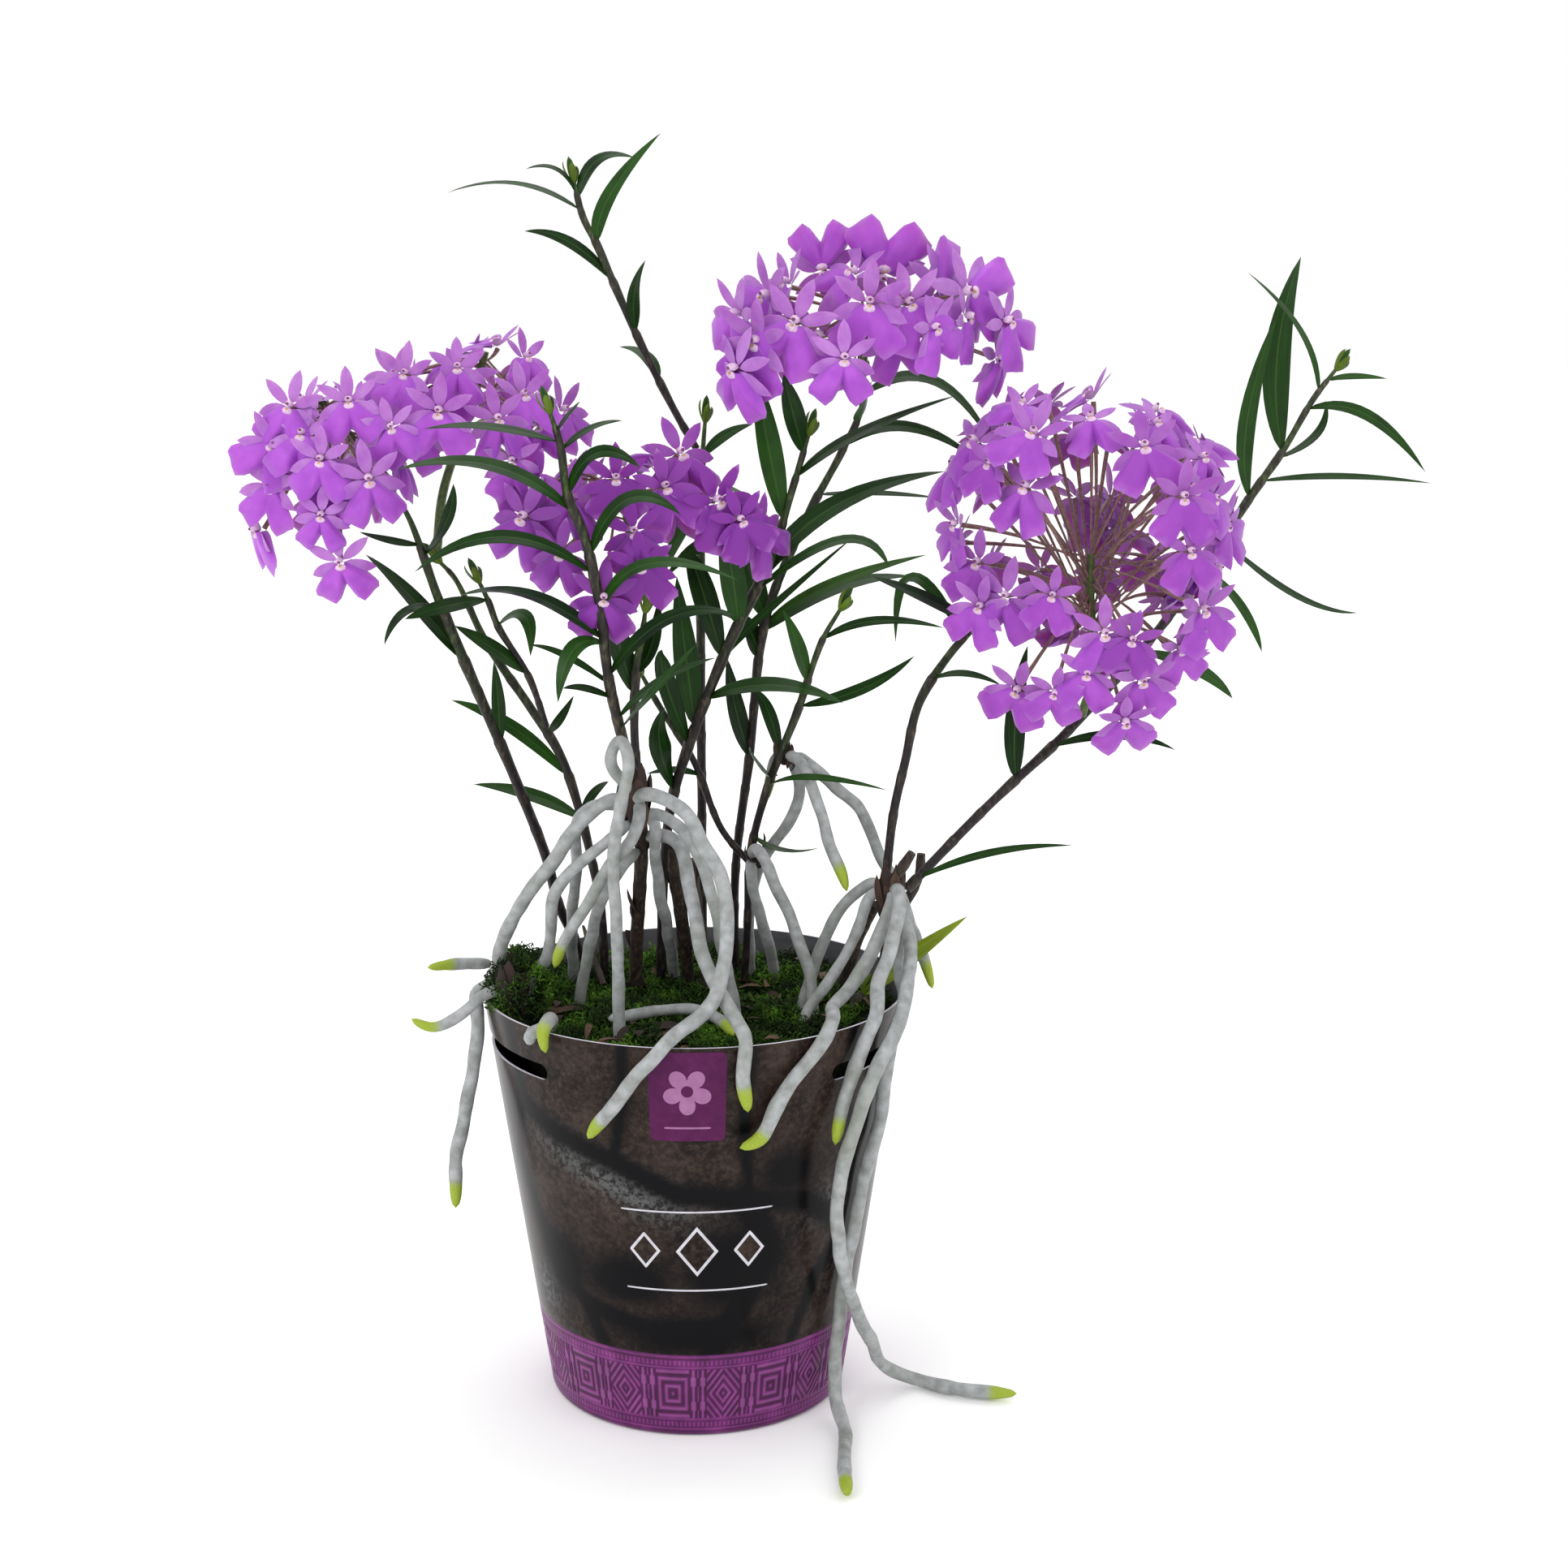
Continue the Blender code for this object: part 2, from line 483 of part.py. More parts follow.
def make_cover_pot():
    """One thin tapered shell, its flat base and wall in one, with a handle slot on each side."""
    corner = BASE_CORNER
    profile = [(0, POT_WALL), (inner_radius(corner) - corner, POT_WALL),
               (inner_radius(corner), POT_WALL + corner), (RIM_RADIUS - POT_WALL, POT_HEIGHT),
               (RIM_RADIUS, POT_HEIGHT), (outer_radius(corner), corner),
               (outer_radius(corner / 3) - corner * 0.3, corner / 3.5),
               (BASE_RADIUS - corner, 0), (0, 0)]
    pot = turned("cover_pot", profile, printed_plastic)
    slots = helper_group("slot_cutters")
    for side, label in ((-1, "left"), (1, "right")):
        cutter = side_box(f"slot_{label}", side, RIM_RADIUS - 19, RIM_RADIUS + 8, SLOT_LENGTH,
                          SLOT_LEVEL - SLOT_HEIGHT / 2, SLOT_LEVEL + SLOT_HEIGHT / 2, True)
        move_to(cutter, slots)
    boolean(pot, "DIFFERENCE", slots)


def grow_radius(z):
    """The grow pot's outside, parallel to the cover pot's inside."""
    return inner_radius(z) - GROW_POT_CLEARANCE


def make_grow_pot():
    """A thin nursery pot with a rolled lip and drain holes, standing on the cover pot's base."""
    floor = POT_WALL + GAP
    wall = GROW_POT_WALL
    rim = GROW_RIM_LEVEL
    lip = GROW_POT_LIP
    profile = [(0, floor + wall), (grow_radius(floor) - wall, floor + wall),
               (grow_radius(rim) - wall, rim), (grow_radius(rim) + lip, rim),
               (grow_radius(rim) + lip, rim - 2 * lip), (grow_radius(rim) + lip - wall, rim - 2 * lip),
               (grow_radius(rim) + lip - wall, rim - wall), (grow_radius(rim - wall), rim - wall),
               (grow_radius(floor), floor), (0, floor)]
    pot = turned("grow_pot", profile, black_plastic)
    holes = helper_group("drain_cutters")
    for index in range(DRAIN_HOLES):
        turn = Matrix.Rotation(2 * math.pi * index / DRAIN_HOLES, 4, "Z")
        place = turn @ Matrix.Translation((grow_radius(floor) * 0.65 * MM, 0, floor * MM))
        shape = bmesh.new()
        bmesh.ops.create_cone(shape, cap_ends=True, segments=10, radius1=DRAIN_HOLE_RADIUS * MM,
                              radius2=DRAIN_HOLE_RADIUS * MM, depth=6 * wall * MM, matrix=place)
        mesh = bpy.data.meshes.new("drain_hole")
        shape.to_mesh(mesh)
        shape.free()
        move_to(add_object(f"drain_hole_{index}", mesh), holes)
    boolean(pot, "DIFFERENCE", holes)


def make_bark():
    """The bark mix that fills the grow pot, up to just below its rim."""
    low = POT_WALL + GROW_POT_WALL + 2 * GAP
    high = GROW_RIM_LEVEL - GAP

    def edge(z):
        return grow_radius(z) - GROW_POT_WALL - 2 * GAP

    turned("bark_mix", [(0, high), (edge(high), high), (edge(low), low), (0, low)], bark)


sockets = helper_group("socket_cutters")


def make_moss():
    """A cushion over the grow pot: crowned, held off the cover pot, pressed back at the slots."""
    low = GROW_RIM_LEVEL + GAP
    crown = MOSS_LEVEL + MOSS_CROWN
    edge_level = MOSS_LEVEL - MOSS_EDGE_FALL
    edge = inner_radius(edge_level) - MOSS_CLEARANCE
    profile = [(0, crown), (edge * 0.45, crown - 0.8), (edge * 0.8, MOSS_LEVEL - 0.5),
               (edge - 2, edge_level), (inner_radius(edge_level - 4) - MOSS_CLEARANCE, edge_level - 4),
               (inner_radius(low) - MOSS_CLEARANCE, low), (0, low)]
    bed = turned("moss_bed", profile, moss)
    rooms = helper_group("finger_room_cutters")
    for side, label in ((-1, "left"), (1, "right")):
        room = side_box(f"finger_room_{label}", side, RIM_RADIUS - FINGER_ROOM, RIM_RADIUS + 8,
                        SLOT_LENGTH, SLOT_LEVEL - SLOT_HEIGHT, MOSS_LEVEL + 20, False)
        move_to(room, rooms)
    boolean(bed, "DIFFERENCE", rooms)
    boolean(bed, "DIFFERENCE", sockets)


def make_clump():
    """A loose tuft of moss that has grown up beside the left of the rim."""
    (x, y, h), radii = CLUMP
    shape = bmesh.new()
    bmesh.ops.create_icosphere(shape, subdivisions=2, radius=MM, matrix=Matrix.Diagonal((*radii, 1.0)))
    place = Matrix.Translation(Vector(plan_point((x, y, h))) * MM)
    bmesh.ops.transform(shape, matrix=place, verts=shape.verts)
    mesh = bpy.data.meshes.new("moss_clump")
    shape.to_mesh(mesh)
    shape.free()
    add_object("moss_clump", mesh, moss)


# --- the plant

def plan_point(point):
    """A plant point, as (x, y, height above the moss), in the part's own frame."""
    x, y, height = point
    return np.array([x * PLAN, y * PLAN, MOSS_LEVEL + height])


def add_socket(name, route, radius):
    """The hole that a foot stands in: a slightly wider tube around its last stretch in the moss."""
    foot = [route[0]]
    for point in route[1:]:
        foot.append(point)
        if point[2] > MOSS_LEVEL + MOSS_CROWN + 1:
            break
    foot = np.array(foot)
    start = foot[1] - foot[0]
    foot[0] -= start / np.linalg.norm(start) * GAP
    clear = radius * SOCKET_SLACK + 2 * GAP
    move_to(tube(name + "_socket", foot, [clear] * len(foot)), sockets)


def leaf_mesh(name, base, middle, tip, width):
    """A lance-shaped strip on a bow through three points, widest near a third of its length."""
    shape = bmesh.new()
    bmesh.ops.create_grid(shape, x_segments=LEAF_SEGMENTS, y_segments=1, size=0.5)
    pull = 2 * middle - (base + tip) / 2
    for vert in shape.verts:
        t = vert.co.x + 0.5
        side = vert.co.y * 2
        place = base * (1 - t) ** 2 + pull * 2 * t * (1 - t) + tip * t ** 2
        along = Vector((pull - base) * (1 - t) + (tip - pull) * t).normalized()
        across = along.cross(LEAF_FACING).normalized()
        swell = math.sin(math.pi * t ** 0.8) ** 0.8 if 0 < t < 1 else 0.0
        end = 1.6 if t < 0.5 else 0.7
        vert.co = (Vector(place) + across * side * max(width * swell, end) / 2) * MM
    mesh = bpy.data.meshes.new(name)
    shape.to_mesh(mesh)
    shape.free()
    leaf = add_object(name, mesh)
    skin = leaf.modifiers.new("Thickness", "SOLIDIFY")
    skin.thickness = LEAF_THICKNESS * MM
    skin.offset = 0.0
    return leaf


def point_at(route, share):
    """The point that far along a route of straight steps."""
    lengths = np.concatenate([[0], np.cumsum(np.linalg.norm(np.diff(route, axis=0), axis=1))])
    at = share * lengths[-1]
    return np.array([np.interp(at, lengths, route[:, axis]) for axis in range(3)])


def make_shoot(name, radius, route, leaves):
    """A cane with its leaves, grown as one piece."""
    route = smooth_route([plan_point(p) for p in route], CANE_STEP)
    thick = radius * CANE_RADIUS / DRAWN_CANE_RADIUS
    cane = tube(name, route, tapered(len(route), thick, TIP_RADIUS), green_leaf)
    group = helper_group(name + "_leaves")
    for index, (share, middle, tip, width) in enumerate(leaves):
        base = point_at(route, share)
        leaf = leaf_mesh(f"{name}_leaf_{index}", base, base + np.array(middle), base + np.array(tip),
                         width)
        move_to(leaf, group)
    boolean(cane, "UNION", group)
    if route[0][2] < MOSS_LEVEL:
        add_socket(name, route, thick)


def make_old_cane(name, route, radius):
    route = smooth_route([plan_point(p) for p in route], CANE_STEP)
    tube(name, route, [radius] * len(route), cane_skin)
    if route[0][2] < MOSS_LEVEL:
        add_socket(name, route, radius)


def wall_point(azimuth, clear, z):
    """A root's middle beside the pot: its skin is `clear` from the wall."""
    angle = math.radians(azimuth)
    reach = outer_radius(z) + ROOT_RADIUS + clear
    return np.array([reach * math.sin(angle), -reach * math.cos(angle), z])


def rim_points(inner_azimuth, outer_azimuth):
    """Two points that carry a root over the rim without touching it."""
    lift = ROOT_RADIUS + RIM_CLEARANCE
    places = [(inner_azimuth, RIM_RADIUS - lift, POT_HEIGHT + lift + RIM_CLEARANCE),
              (outer_azimuth, RIM_RADIUS + 0.75 * lift, POT_HEIGHT + 0.75 * lift)]
    return [np.array([reach * math.sin(math.radians(azimuth)),
                      -reach * math.cos(math.radians(azimuth)), z]) for azimuth, reach, z in places]


def make_root(name, inside=(), rim=None, outside=(), floor=()):
    """An aerial root: through the air, and where it is long over the rim, down and along the surface."""
    points = [plan_point(p) for p in inside]
    if rim is not None:
        points += rim_points(*rim)
    points += [wall_point(azimuth, clear, share * POT_HEIGHT) for azimuth, clear, share in outside]
    points += [np.array([x * PLAN, y * PLAN, ROOT_RADIUS + 2 * GAP]) for x, y in floor]
    route = smooth_route(points, ROOT_STEP)
    radius = ROOT_RADIUS if outside else INNER_ROOT_RADIUS
    rooted = not outside and route[-1][2] < MOSS_LEVEL
    if rooted:
        radii = [radius] * len(route)
        add_socket(name, route[::-1], radius)
    else:
        radii = tapered(len(route), radius, ROOT_TIP_RADIUS)
    tube(name, route, radii, root_skin)


def shell_part(name, centre, radii, opening, offset):
    """A dome of petals: a ball cut by its opening plane, given a thickness inwards."""
    middle = Vector(plan_point(centre))
    shape = bmesh.new()
    bmesh.ops.create_uvsphere(shape, u_segments=12, v_segments=8, radius=1.0)
    bmesh.ops.transform(shape, matrix=Matrix.Diagonal((*radii, 1.0)), verts=shape.verts)
    way = Vector(opening).normalized()
    everything = shape.verts[:] + shape.edges[:] + shape.faces[:]
    bmesh.ops.bisect_plane(shape, geom=everything, dist=1e-4, plane_co=way * offset, plane_no=way,
                           clear_outer=True)
    bmesh.ops.transform(shape, matrix=Matrix.Scale(MM, 4) @ Matrix.Translation(middle),
                        verts=shape.verts)
    bmesh.ops.recalc_face_normals(shape, faces=shape.faces)
    mesh = bpy.data.meshes.new(name)
    shape.to_mesh(mesh)
    shape.free()
    return mesh


def make_head(name, domes, stalks):
    """An umbel as one piece: its stalks, spokes for the pedicels, and a shell for the petals."""
    first_route = smooth_route([plan_point(p) for p in stalks[0]], CANE_STEP)
    head = tube(name, first_route, [RACHIS_RADIUS] * len(first_route), petal)
    group = helper_group(name + "_pieces")
    for index, stalk in enumerate(stalks[1:]):
        route = smooth_route([plan_point(p) for p in stalk], CANE_STEP)
        move_to(tube(f"{name}_stalk_{index}", route, [RACHIS_RADIUS] * len(route)), group)
    for index, (centre, radii, opening, offset) in enumerate(domes):
        dome = add_object(f"{name}_dome_{index}", shell_part(name, centre, radii, opening, offset))
        skin = dome.modifiers.new("Thickness", "SOLIDIFY")
        skin.thickness = PETAL_SHELL * MM
        skin.offset = -1.0
        move_to(dome, group)
    boolean(head, "UNION", group)


make_cover_pot()
make_grow_pot()
make_bark()
for name, shoot in SHOOTS.items():
    make_shoot(name, **shoot)
for name, (route, radius) in OLD_CANES.items():
    make_old_cane(name, route, radius)
for name, root in ROOTS.items():
    make_root(name, **root)
for name, head in HEADS.items():
    make_head(name, **head)
make_moss()
make_clump()
twig_route = smooth_route([plan_point(p) for p in TWIG], CANE_STEP)
tube("dead_twig", twig_route, [TWIG_RADIUS] * len(twig_route), cane_skin)
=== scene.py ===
"""Looks of a reed-stem orchid in a printed cover pot: canes, leaves, aerial roots, flowers and moss.

Lengths are written in millimetres and turned to metres where the meshes are made. The front is -Y.
Every piece is a set of closed patches, and a patch is a grid of points worked out as whole arrays.
"""

import math

import bmesh
import bpy
import numpy as np
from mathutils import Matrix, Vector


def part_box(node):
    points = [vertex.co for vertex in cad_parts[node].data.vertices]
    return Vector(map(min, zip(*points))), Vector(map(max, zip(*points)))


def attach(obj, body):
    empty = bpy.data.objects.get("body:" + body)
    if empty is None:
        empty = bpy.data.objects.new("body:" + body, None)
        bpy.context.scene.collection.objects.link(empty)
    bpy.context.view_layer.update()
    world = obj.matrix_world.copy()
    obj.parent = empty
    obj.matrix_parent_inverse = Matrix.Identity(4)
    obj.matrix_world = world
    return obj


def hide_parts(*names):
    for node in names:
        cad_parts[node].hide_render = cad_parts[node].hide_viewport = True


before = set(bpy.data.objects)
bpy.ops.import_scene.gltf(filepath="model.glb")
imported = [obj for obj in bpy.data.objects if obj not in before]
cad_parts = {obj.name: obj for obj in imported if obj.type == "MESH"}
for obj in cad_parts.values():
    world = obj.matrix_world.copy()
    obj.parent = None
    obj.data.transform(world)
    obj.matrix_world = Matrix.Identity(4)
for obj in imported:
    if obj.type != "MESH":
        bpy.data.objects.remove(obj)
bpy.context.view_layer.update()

MM = 0.001
RANDOM = np.random.default_rng(20)

pot_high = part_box("cover_pot")[1]
moss_low, moss_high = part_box("moss_bed")

RIM_RADIUS = pot_high.x / MM
POT_HEIGHT = pot_high.z / MM
BASE_RADIUS = 53.0
POT_WALL = 0.9
BASE_CORNER = 2.5
BAND_HEIGHT = 33.0
BAND_DEPTH = 0.45
BAND_MIDDLE = 17.0
BAND_FIGURES = 20
SLOT_LEVEL = POT_HEIGHT - 15.4
SLOT_RADIUS = 2.9
SLOT_LENGTH = 66.0
SLOT_AZIMUTHS = (-69.4, 65.2)
FINGER_ROOM = 13.0
MOSS_CROWN = 2.0
MOSS_LEVEL = moss_high.z / MM - MOSS_CROWN
CARPET_SPRIGS = 4300
TUFT_SPRIGS = 420
LITTER_SCRAPS = 100
ROOT_RADIUS = 2.55
INNER_ROOT_RADIUS = 2.15
RIM_CLEARANCE = 1.0
FLOOR_GAP = 0.6
BARE_TIP_LENGTH = 9.5
TIP_TAPER_LENGTH = 11
TIP_RADIUS = 0.7
ROUTE_STEP = 1.6
LEAFY_SHEATH_LENGTH = 10.0
BARE_SHEATH_LENGTH = 5.0
LEAF_FACING = (0.0, -0.6, 0.8)
LEAF_THICKNESS = 0.55
BUD_LENGTH = 9.0
BUD_TONE = 0.85
PETAL_THICKNESS = 0.4
SCRAP_THICKNESS = 0.3

# Shoots: a cane's route from its foot to its tip, as (x, y, height above the moss), and its leaves.
# A leaf is (share of the way up the cane, middle and tip as offsets from its foot, width).
SHOOTS = {
    "shoot_left_front": dict(
        radius=1.9,
        route=[(-41, 46, -8), (-44, 44, 11), (-50, 40, 27), (-54, 36, 46), (-64, 28, 77),
               (-73, 20, 103), (-81, 12, 126), (-88, 6, 147), (-96, 0, 174), (-101, -2, 184)],
        leaves=[(0.68, (-17, -4, 22), (-32, -10, 39), 8.5), (0.51, (0, -5, 16), (-1, -8, 31), 5),
                (0.78, (-12, -6, 0), (-19, -14, -10), 5.5), (0.90, (-10, -5, 2), (-19, -12, 6), 4),
                (0.88, (9, -8, 12), (12, -12, 26), 6)],
    ),
    "shoot_left_back": dict(
        radius=1.6,
        route=[(-33, 26, -8), (-34, 26, 29), (-42, 26, 69), (-48, 26, 87), (-58, 25, 104),
               (-73, 23, 128), (-83, 20, 151), (-88, 19, 157)],
        leaves=[(0.49, (-21, 8, 17), (-43, 14, 26), 5.5), (0.40, (-19, 9, 7), (-40, 15, 10), 6),
                (0.41, (5, 5, 7), (10, 10, 10), 3.5), (0.59, (4, 6, 4), (9, 10, 12), 3.5)],
    ),
    "shoot_left_side": dict(
        radius=1.1,
        route=[(-52, 20, 98), (-58, 17, 117), (-68, 14, 135), (-71, 13, 144), (-74, 12, 151)],
        leaves=[(0.36, (-12, -6, 10), (-24, -12, 19), 7), (0.71, (10, -8, 4), (12, -12, -9), 6),
                (0.88, (-14, -12, -1), (-27, -18, -4), 6.5)],
    ),
    "plantlet_shoot_leafy": dict(
        radius=1.6,
        route=[(-20, -33, 92), (-24, -35, 106), (-28, -38, 126), (-30, -41, 148), (-35, -45, 174),
               (-40, -47, 187), (-42, -49, 204), (-45, -50, 214)],
        leaves=[(0.95, (4, -3, 5), (8, -6, 10), 4), (0.90, (10, -3, 7), (20, -8, 10), 4.5),
                (0.92, (-23, -3, 5), (-43, -8, 5), 5), (0.78, (10, -6, 14), (24, -12, 10), 6.5),
                (0.73, (-26, -8, 16), (-55, -16, 16), 7.5), (0.61, (13, -7, 19), (30, -14, 15), 7),
                (0.56, (-29, -6, 13), (-57, -14, 3), 6), (0.46, (16, -6, 16), (45, -14, 12), 6),
                (0.38, (-24, -4, 15), (-46, -12, 17), 9), (0.37, (-10, -8, -1), (-15, -14, -17), 7),
                (0.28, (20, -8, 20), (42, -18, 23), 7.5), (0.26, (-15, 4, 9), (-27, 8, 12), 3),
                (0.22, (-9, -5, 4), (-16, -9, 5), 4), (0.16, (15, -7, 14), (33, -14, 23), 5),
                (0.13, (12, -16, 16), (26, -24, 33), 4.5)],
    ),
    "plantlet_shoot_dark": dict(
        radius=1.5,
        route=[(-19, -22, 87), (-20, -20, 106), (-19, -17, 126), (-17, -15, 136), (-16, -13, 144)],
        leaves=[(0.51, (-6, 5, 19), (-9, 8, 39), 8.5), (0.63, (6, 4, 10), (8, 9, 25), 6)],
    ),
    "shoot_upright": dict(
        radius=1.7,
        route=[(3, 46, -8), (3, 42, 54), (3, 36, 128), (4, 30, 191), (5, 29, 205)],
        leaves=[(0.94, (8, 5, 7), (18, 8, 11), 4.5), (0.87, (-8, -5, -13), (-15, -10, -28), 6.5),
                (0.90, (11, 8, -4), (21, 16, -10), 4)],
    ),
    "shoot_top": dict(
        radius=1.3,
        route=[(2, 32, 195), (-5, 34, 207), (-18, 35, 233), (-26, 37, 251), (-32, 38, 265),
               (-37, 39, 275), (-40, 40, 287)],
        leaves=[(0.90, (-23, 4, 9), (-47, 8, 6), 4), (0.96, (-7, -4, 8), (-17, -8, 8), 3),
                (0.94, (7, 4, 13), (20, 8, 14), 5), (0.78, (6, -3, 17), (23, -8, 37), 6.5),
                (0.64, (-15, 3, 13), (-31, 8, 17), 4.5), (0.45, (0, -5, 13), (4, -10, 25), 5),
                (0.27, (-5, 5, 8), (-14, 10, 11), 5.5)],
    ),
    "shoot_centre_front": dict(
        radius=1.8,
        route=[(-13, 20, -8), (-10, 12, 57), (-7, 8, 76), (1, 5, 101), (13, 2, 131), (27, 0, 160),
               (35, -2, 186), (40, -3, 203)],
        leaves=[(0.47, (-8, -7, 23), (-9, -12, 36), 8.5), (0.50, (-3, 3, 25), (-6, 4, 53), 9),
                (0.39, (-5, -9, 17), (-3, -16, 33), 8.5), (0.62, (-7, 5, 24), (-12, 8, 38), 9),
                (0.68, (-2, -7, 19), (-6, -12, 37), 9), (0.86, (-6, -6, 28), (-10, -12, 52), 10),
                (0.97, (-4, -5, 14), (-7, -9, 27), 8.5), (0.93, (21, -8, 15), (53, -18, 29), 7),
                (0.74, (29, -14, 19), (44, -30, 12), 6), (0.62, (12, 8, 12), (47, 16, 41), 3.5),
                (0.55, (23, -9, 6), (47, -20, 2), 8.5), (0.76, (25, 6, 24), (65, 14, 36), 9),
                (0.80, (-20, -8, 6), (-36, -14, -5), 6.5)],
    ),
    "shoot_centre_back": dict(
        radius=1.6,
        route=[(15, 32, -8), (15, 24, 44), (20, 20, 86), (26, 18, 137), (41, 16, 174),
               (52, 14, 195), (59, 12, 211), (59, 10, 222)],
        leaves=[(0.60, (24, -6, 15), (56, -16, 27), 6.5), (0.59, (25, 6, 14), (54, 12, 18), 8),
                (0.89, (22, 6, 6), (49, 12, -7), 5.5), (0.97, (25, 10, 4), (48, 20, -20), 6),
                (0.93, (2, -8, 6), (4, -16, 15), 6), (0.81, (23, 12, -1), (45, 24, -4), 3),
                (0.40, (-5, -4, 17), (-8, -6, 37), 8), (0.55, (-5, -2, 12), (-15, -5, 17), 9),
                (0.61, (-5, 6, 14), (-9, 10, 31), 8.5)],
    ),
    "shoot_centre_side": dict(
        radius=1.4,
        route=[(17, 16, -8), (19, 13, 26), (20, 12, 52), (27, 6, 81), (36, 2, 105), (45, -1, 132),
               (51, -3, 143)],
        leaves=[(0.92, (18, -5, 7), (41, -14, 6), 4.5), (0.76, (22, -6, 7), (39, -14, 20), 5.5),
                (0.82, (-4, -6, 13), (-9, -12, 27), 7), (0.56, (15, -20, 7), (40, -32, 5), 3.5),
                (0.43, (10, -14, -2), (22, -30, 3), 3.5), (0.58, (-5, -7, 6), (-8, -14, 14), 8.5),
                (0.64, (-4, 5, 14), (-9, 8, 22), 5)],
    ),
    "shoot_crossing": dict(
        radius=1.2,
        route=[(20, 13, 49), (10, 15, 61), (0, 17, 86), (-12, 16, 106), (-18, 12, 118)],
        leaves=[(0.46, (-9, -1, 2), (-19, -2, 1), 3.5)],
    ),
    "shoot_right_up": dict(
        radius=1.6,
        route=[(67, -8, 47), (70, -5, 72), (74, -2, 89), (79, 2, 109), (90, 8, 125), (98, 12, 133),
               (104, 17, 137)],
        leaves=[(0.70, (11, -8, 3), (23, -14, 0), 4), (0.94, (-19, -10, 11), (-39, -22, 21), 7.5),
                (0.88, (-18, 8, 20), (-23, 14, -4), 5)],
    ),
    "shoot_small_right": dict(
        radius=1.0,
        route=[(50, -14, -8), (54, -14, 1), (59, -13, 8)],
        leaves=[(0.97, (15, -1, 12), (37, 1, 28), 8)], tone=1.2,
    ),
    "shoot_right_out": dict(
        radius=1.7,
        route=[(74, -14, 46), (96, -4, 66), (110, 2, 78), (125, 8, 90), (135, 14, 98), (174, 44, 133),
               (205, 55, 176), (216, 56, 192), (226, 56, 210), (234, 56, 221)],
        leaves=[(0.22, (0, 4, 21), (4, 6, 47), 7.5), (0.29, (22, -6, 5), (42, -12, 1), 4.5),
                (0.02, (25, -8, 11), (52, -18, 16), 3.5), (0.50, (22, 6, -8), (36, 8, -19), 6.5),
                (0.66, (16, 7, -16), (25, 10, -33), 5), (0.71, (29, 6, -22), (54, 10, -29), 4.5),
                (0.78, (-3, -4, 28), (6, -8, 67), 7), (0.86, (-2, 5, 34), (6, 8, 70), 10),
                (0.96, (-9, -5, 22), (-30, -10, 43), 3.5), (0.98, (11, 4, 1), (24, 8, 0), 3),
                (0.93, (21, -5, -2), (42, -10, -22), 5), (0.81, (31, 5, 1), (66, 10, -2), 3.5),
                (0.85, (16, 8, 8), (20, 14, 20), 3.5)],
    ),
}

# Leafless old canes and cut stubs: a route and a radius.
OLD_CANES = {
    "base_cane_right": ([(51, 12, -8), (58, 4, 23), (64, -4, 38)], 2.2),
    "old_cane_left": ([(-21, 18, -8), (-21, 6, 16), (-19, -10, 47), (-18, -17, 66), (-19, -28, 80),
                       (-20, -32.5, 86), (-20, -33, 90.8)], 2.4),
    "old_cane_middle": ([(-2, 22, -8), (-3, 10, 15), (-7, -14, 57), (-7, -16, 61)], 2.4),
    "old_cane_front": ([(6, 6, -8), (3, 0, 18), (1, -5, 37), (-1, -9, 56)], 2.0),
    "cut_stub_short": ([(69, -19, 51), (71, -20, 54), (75, -22, 61)], 1.8),
    "cut_stub_long": ([(66, 12, -8), (70, 10, 23), (80, 9, 44), (81, 9, 53)], 1.8),
}

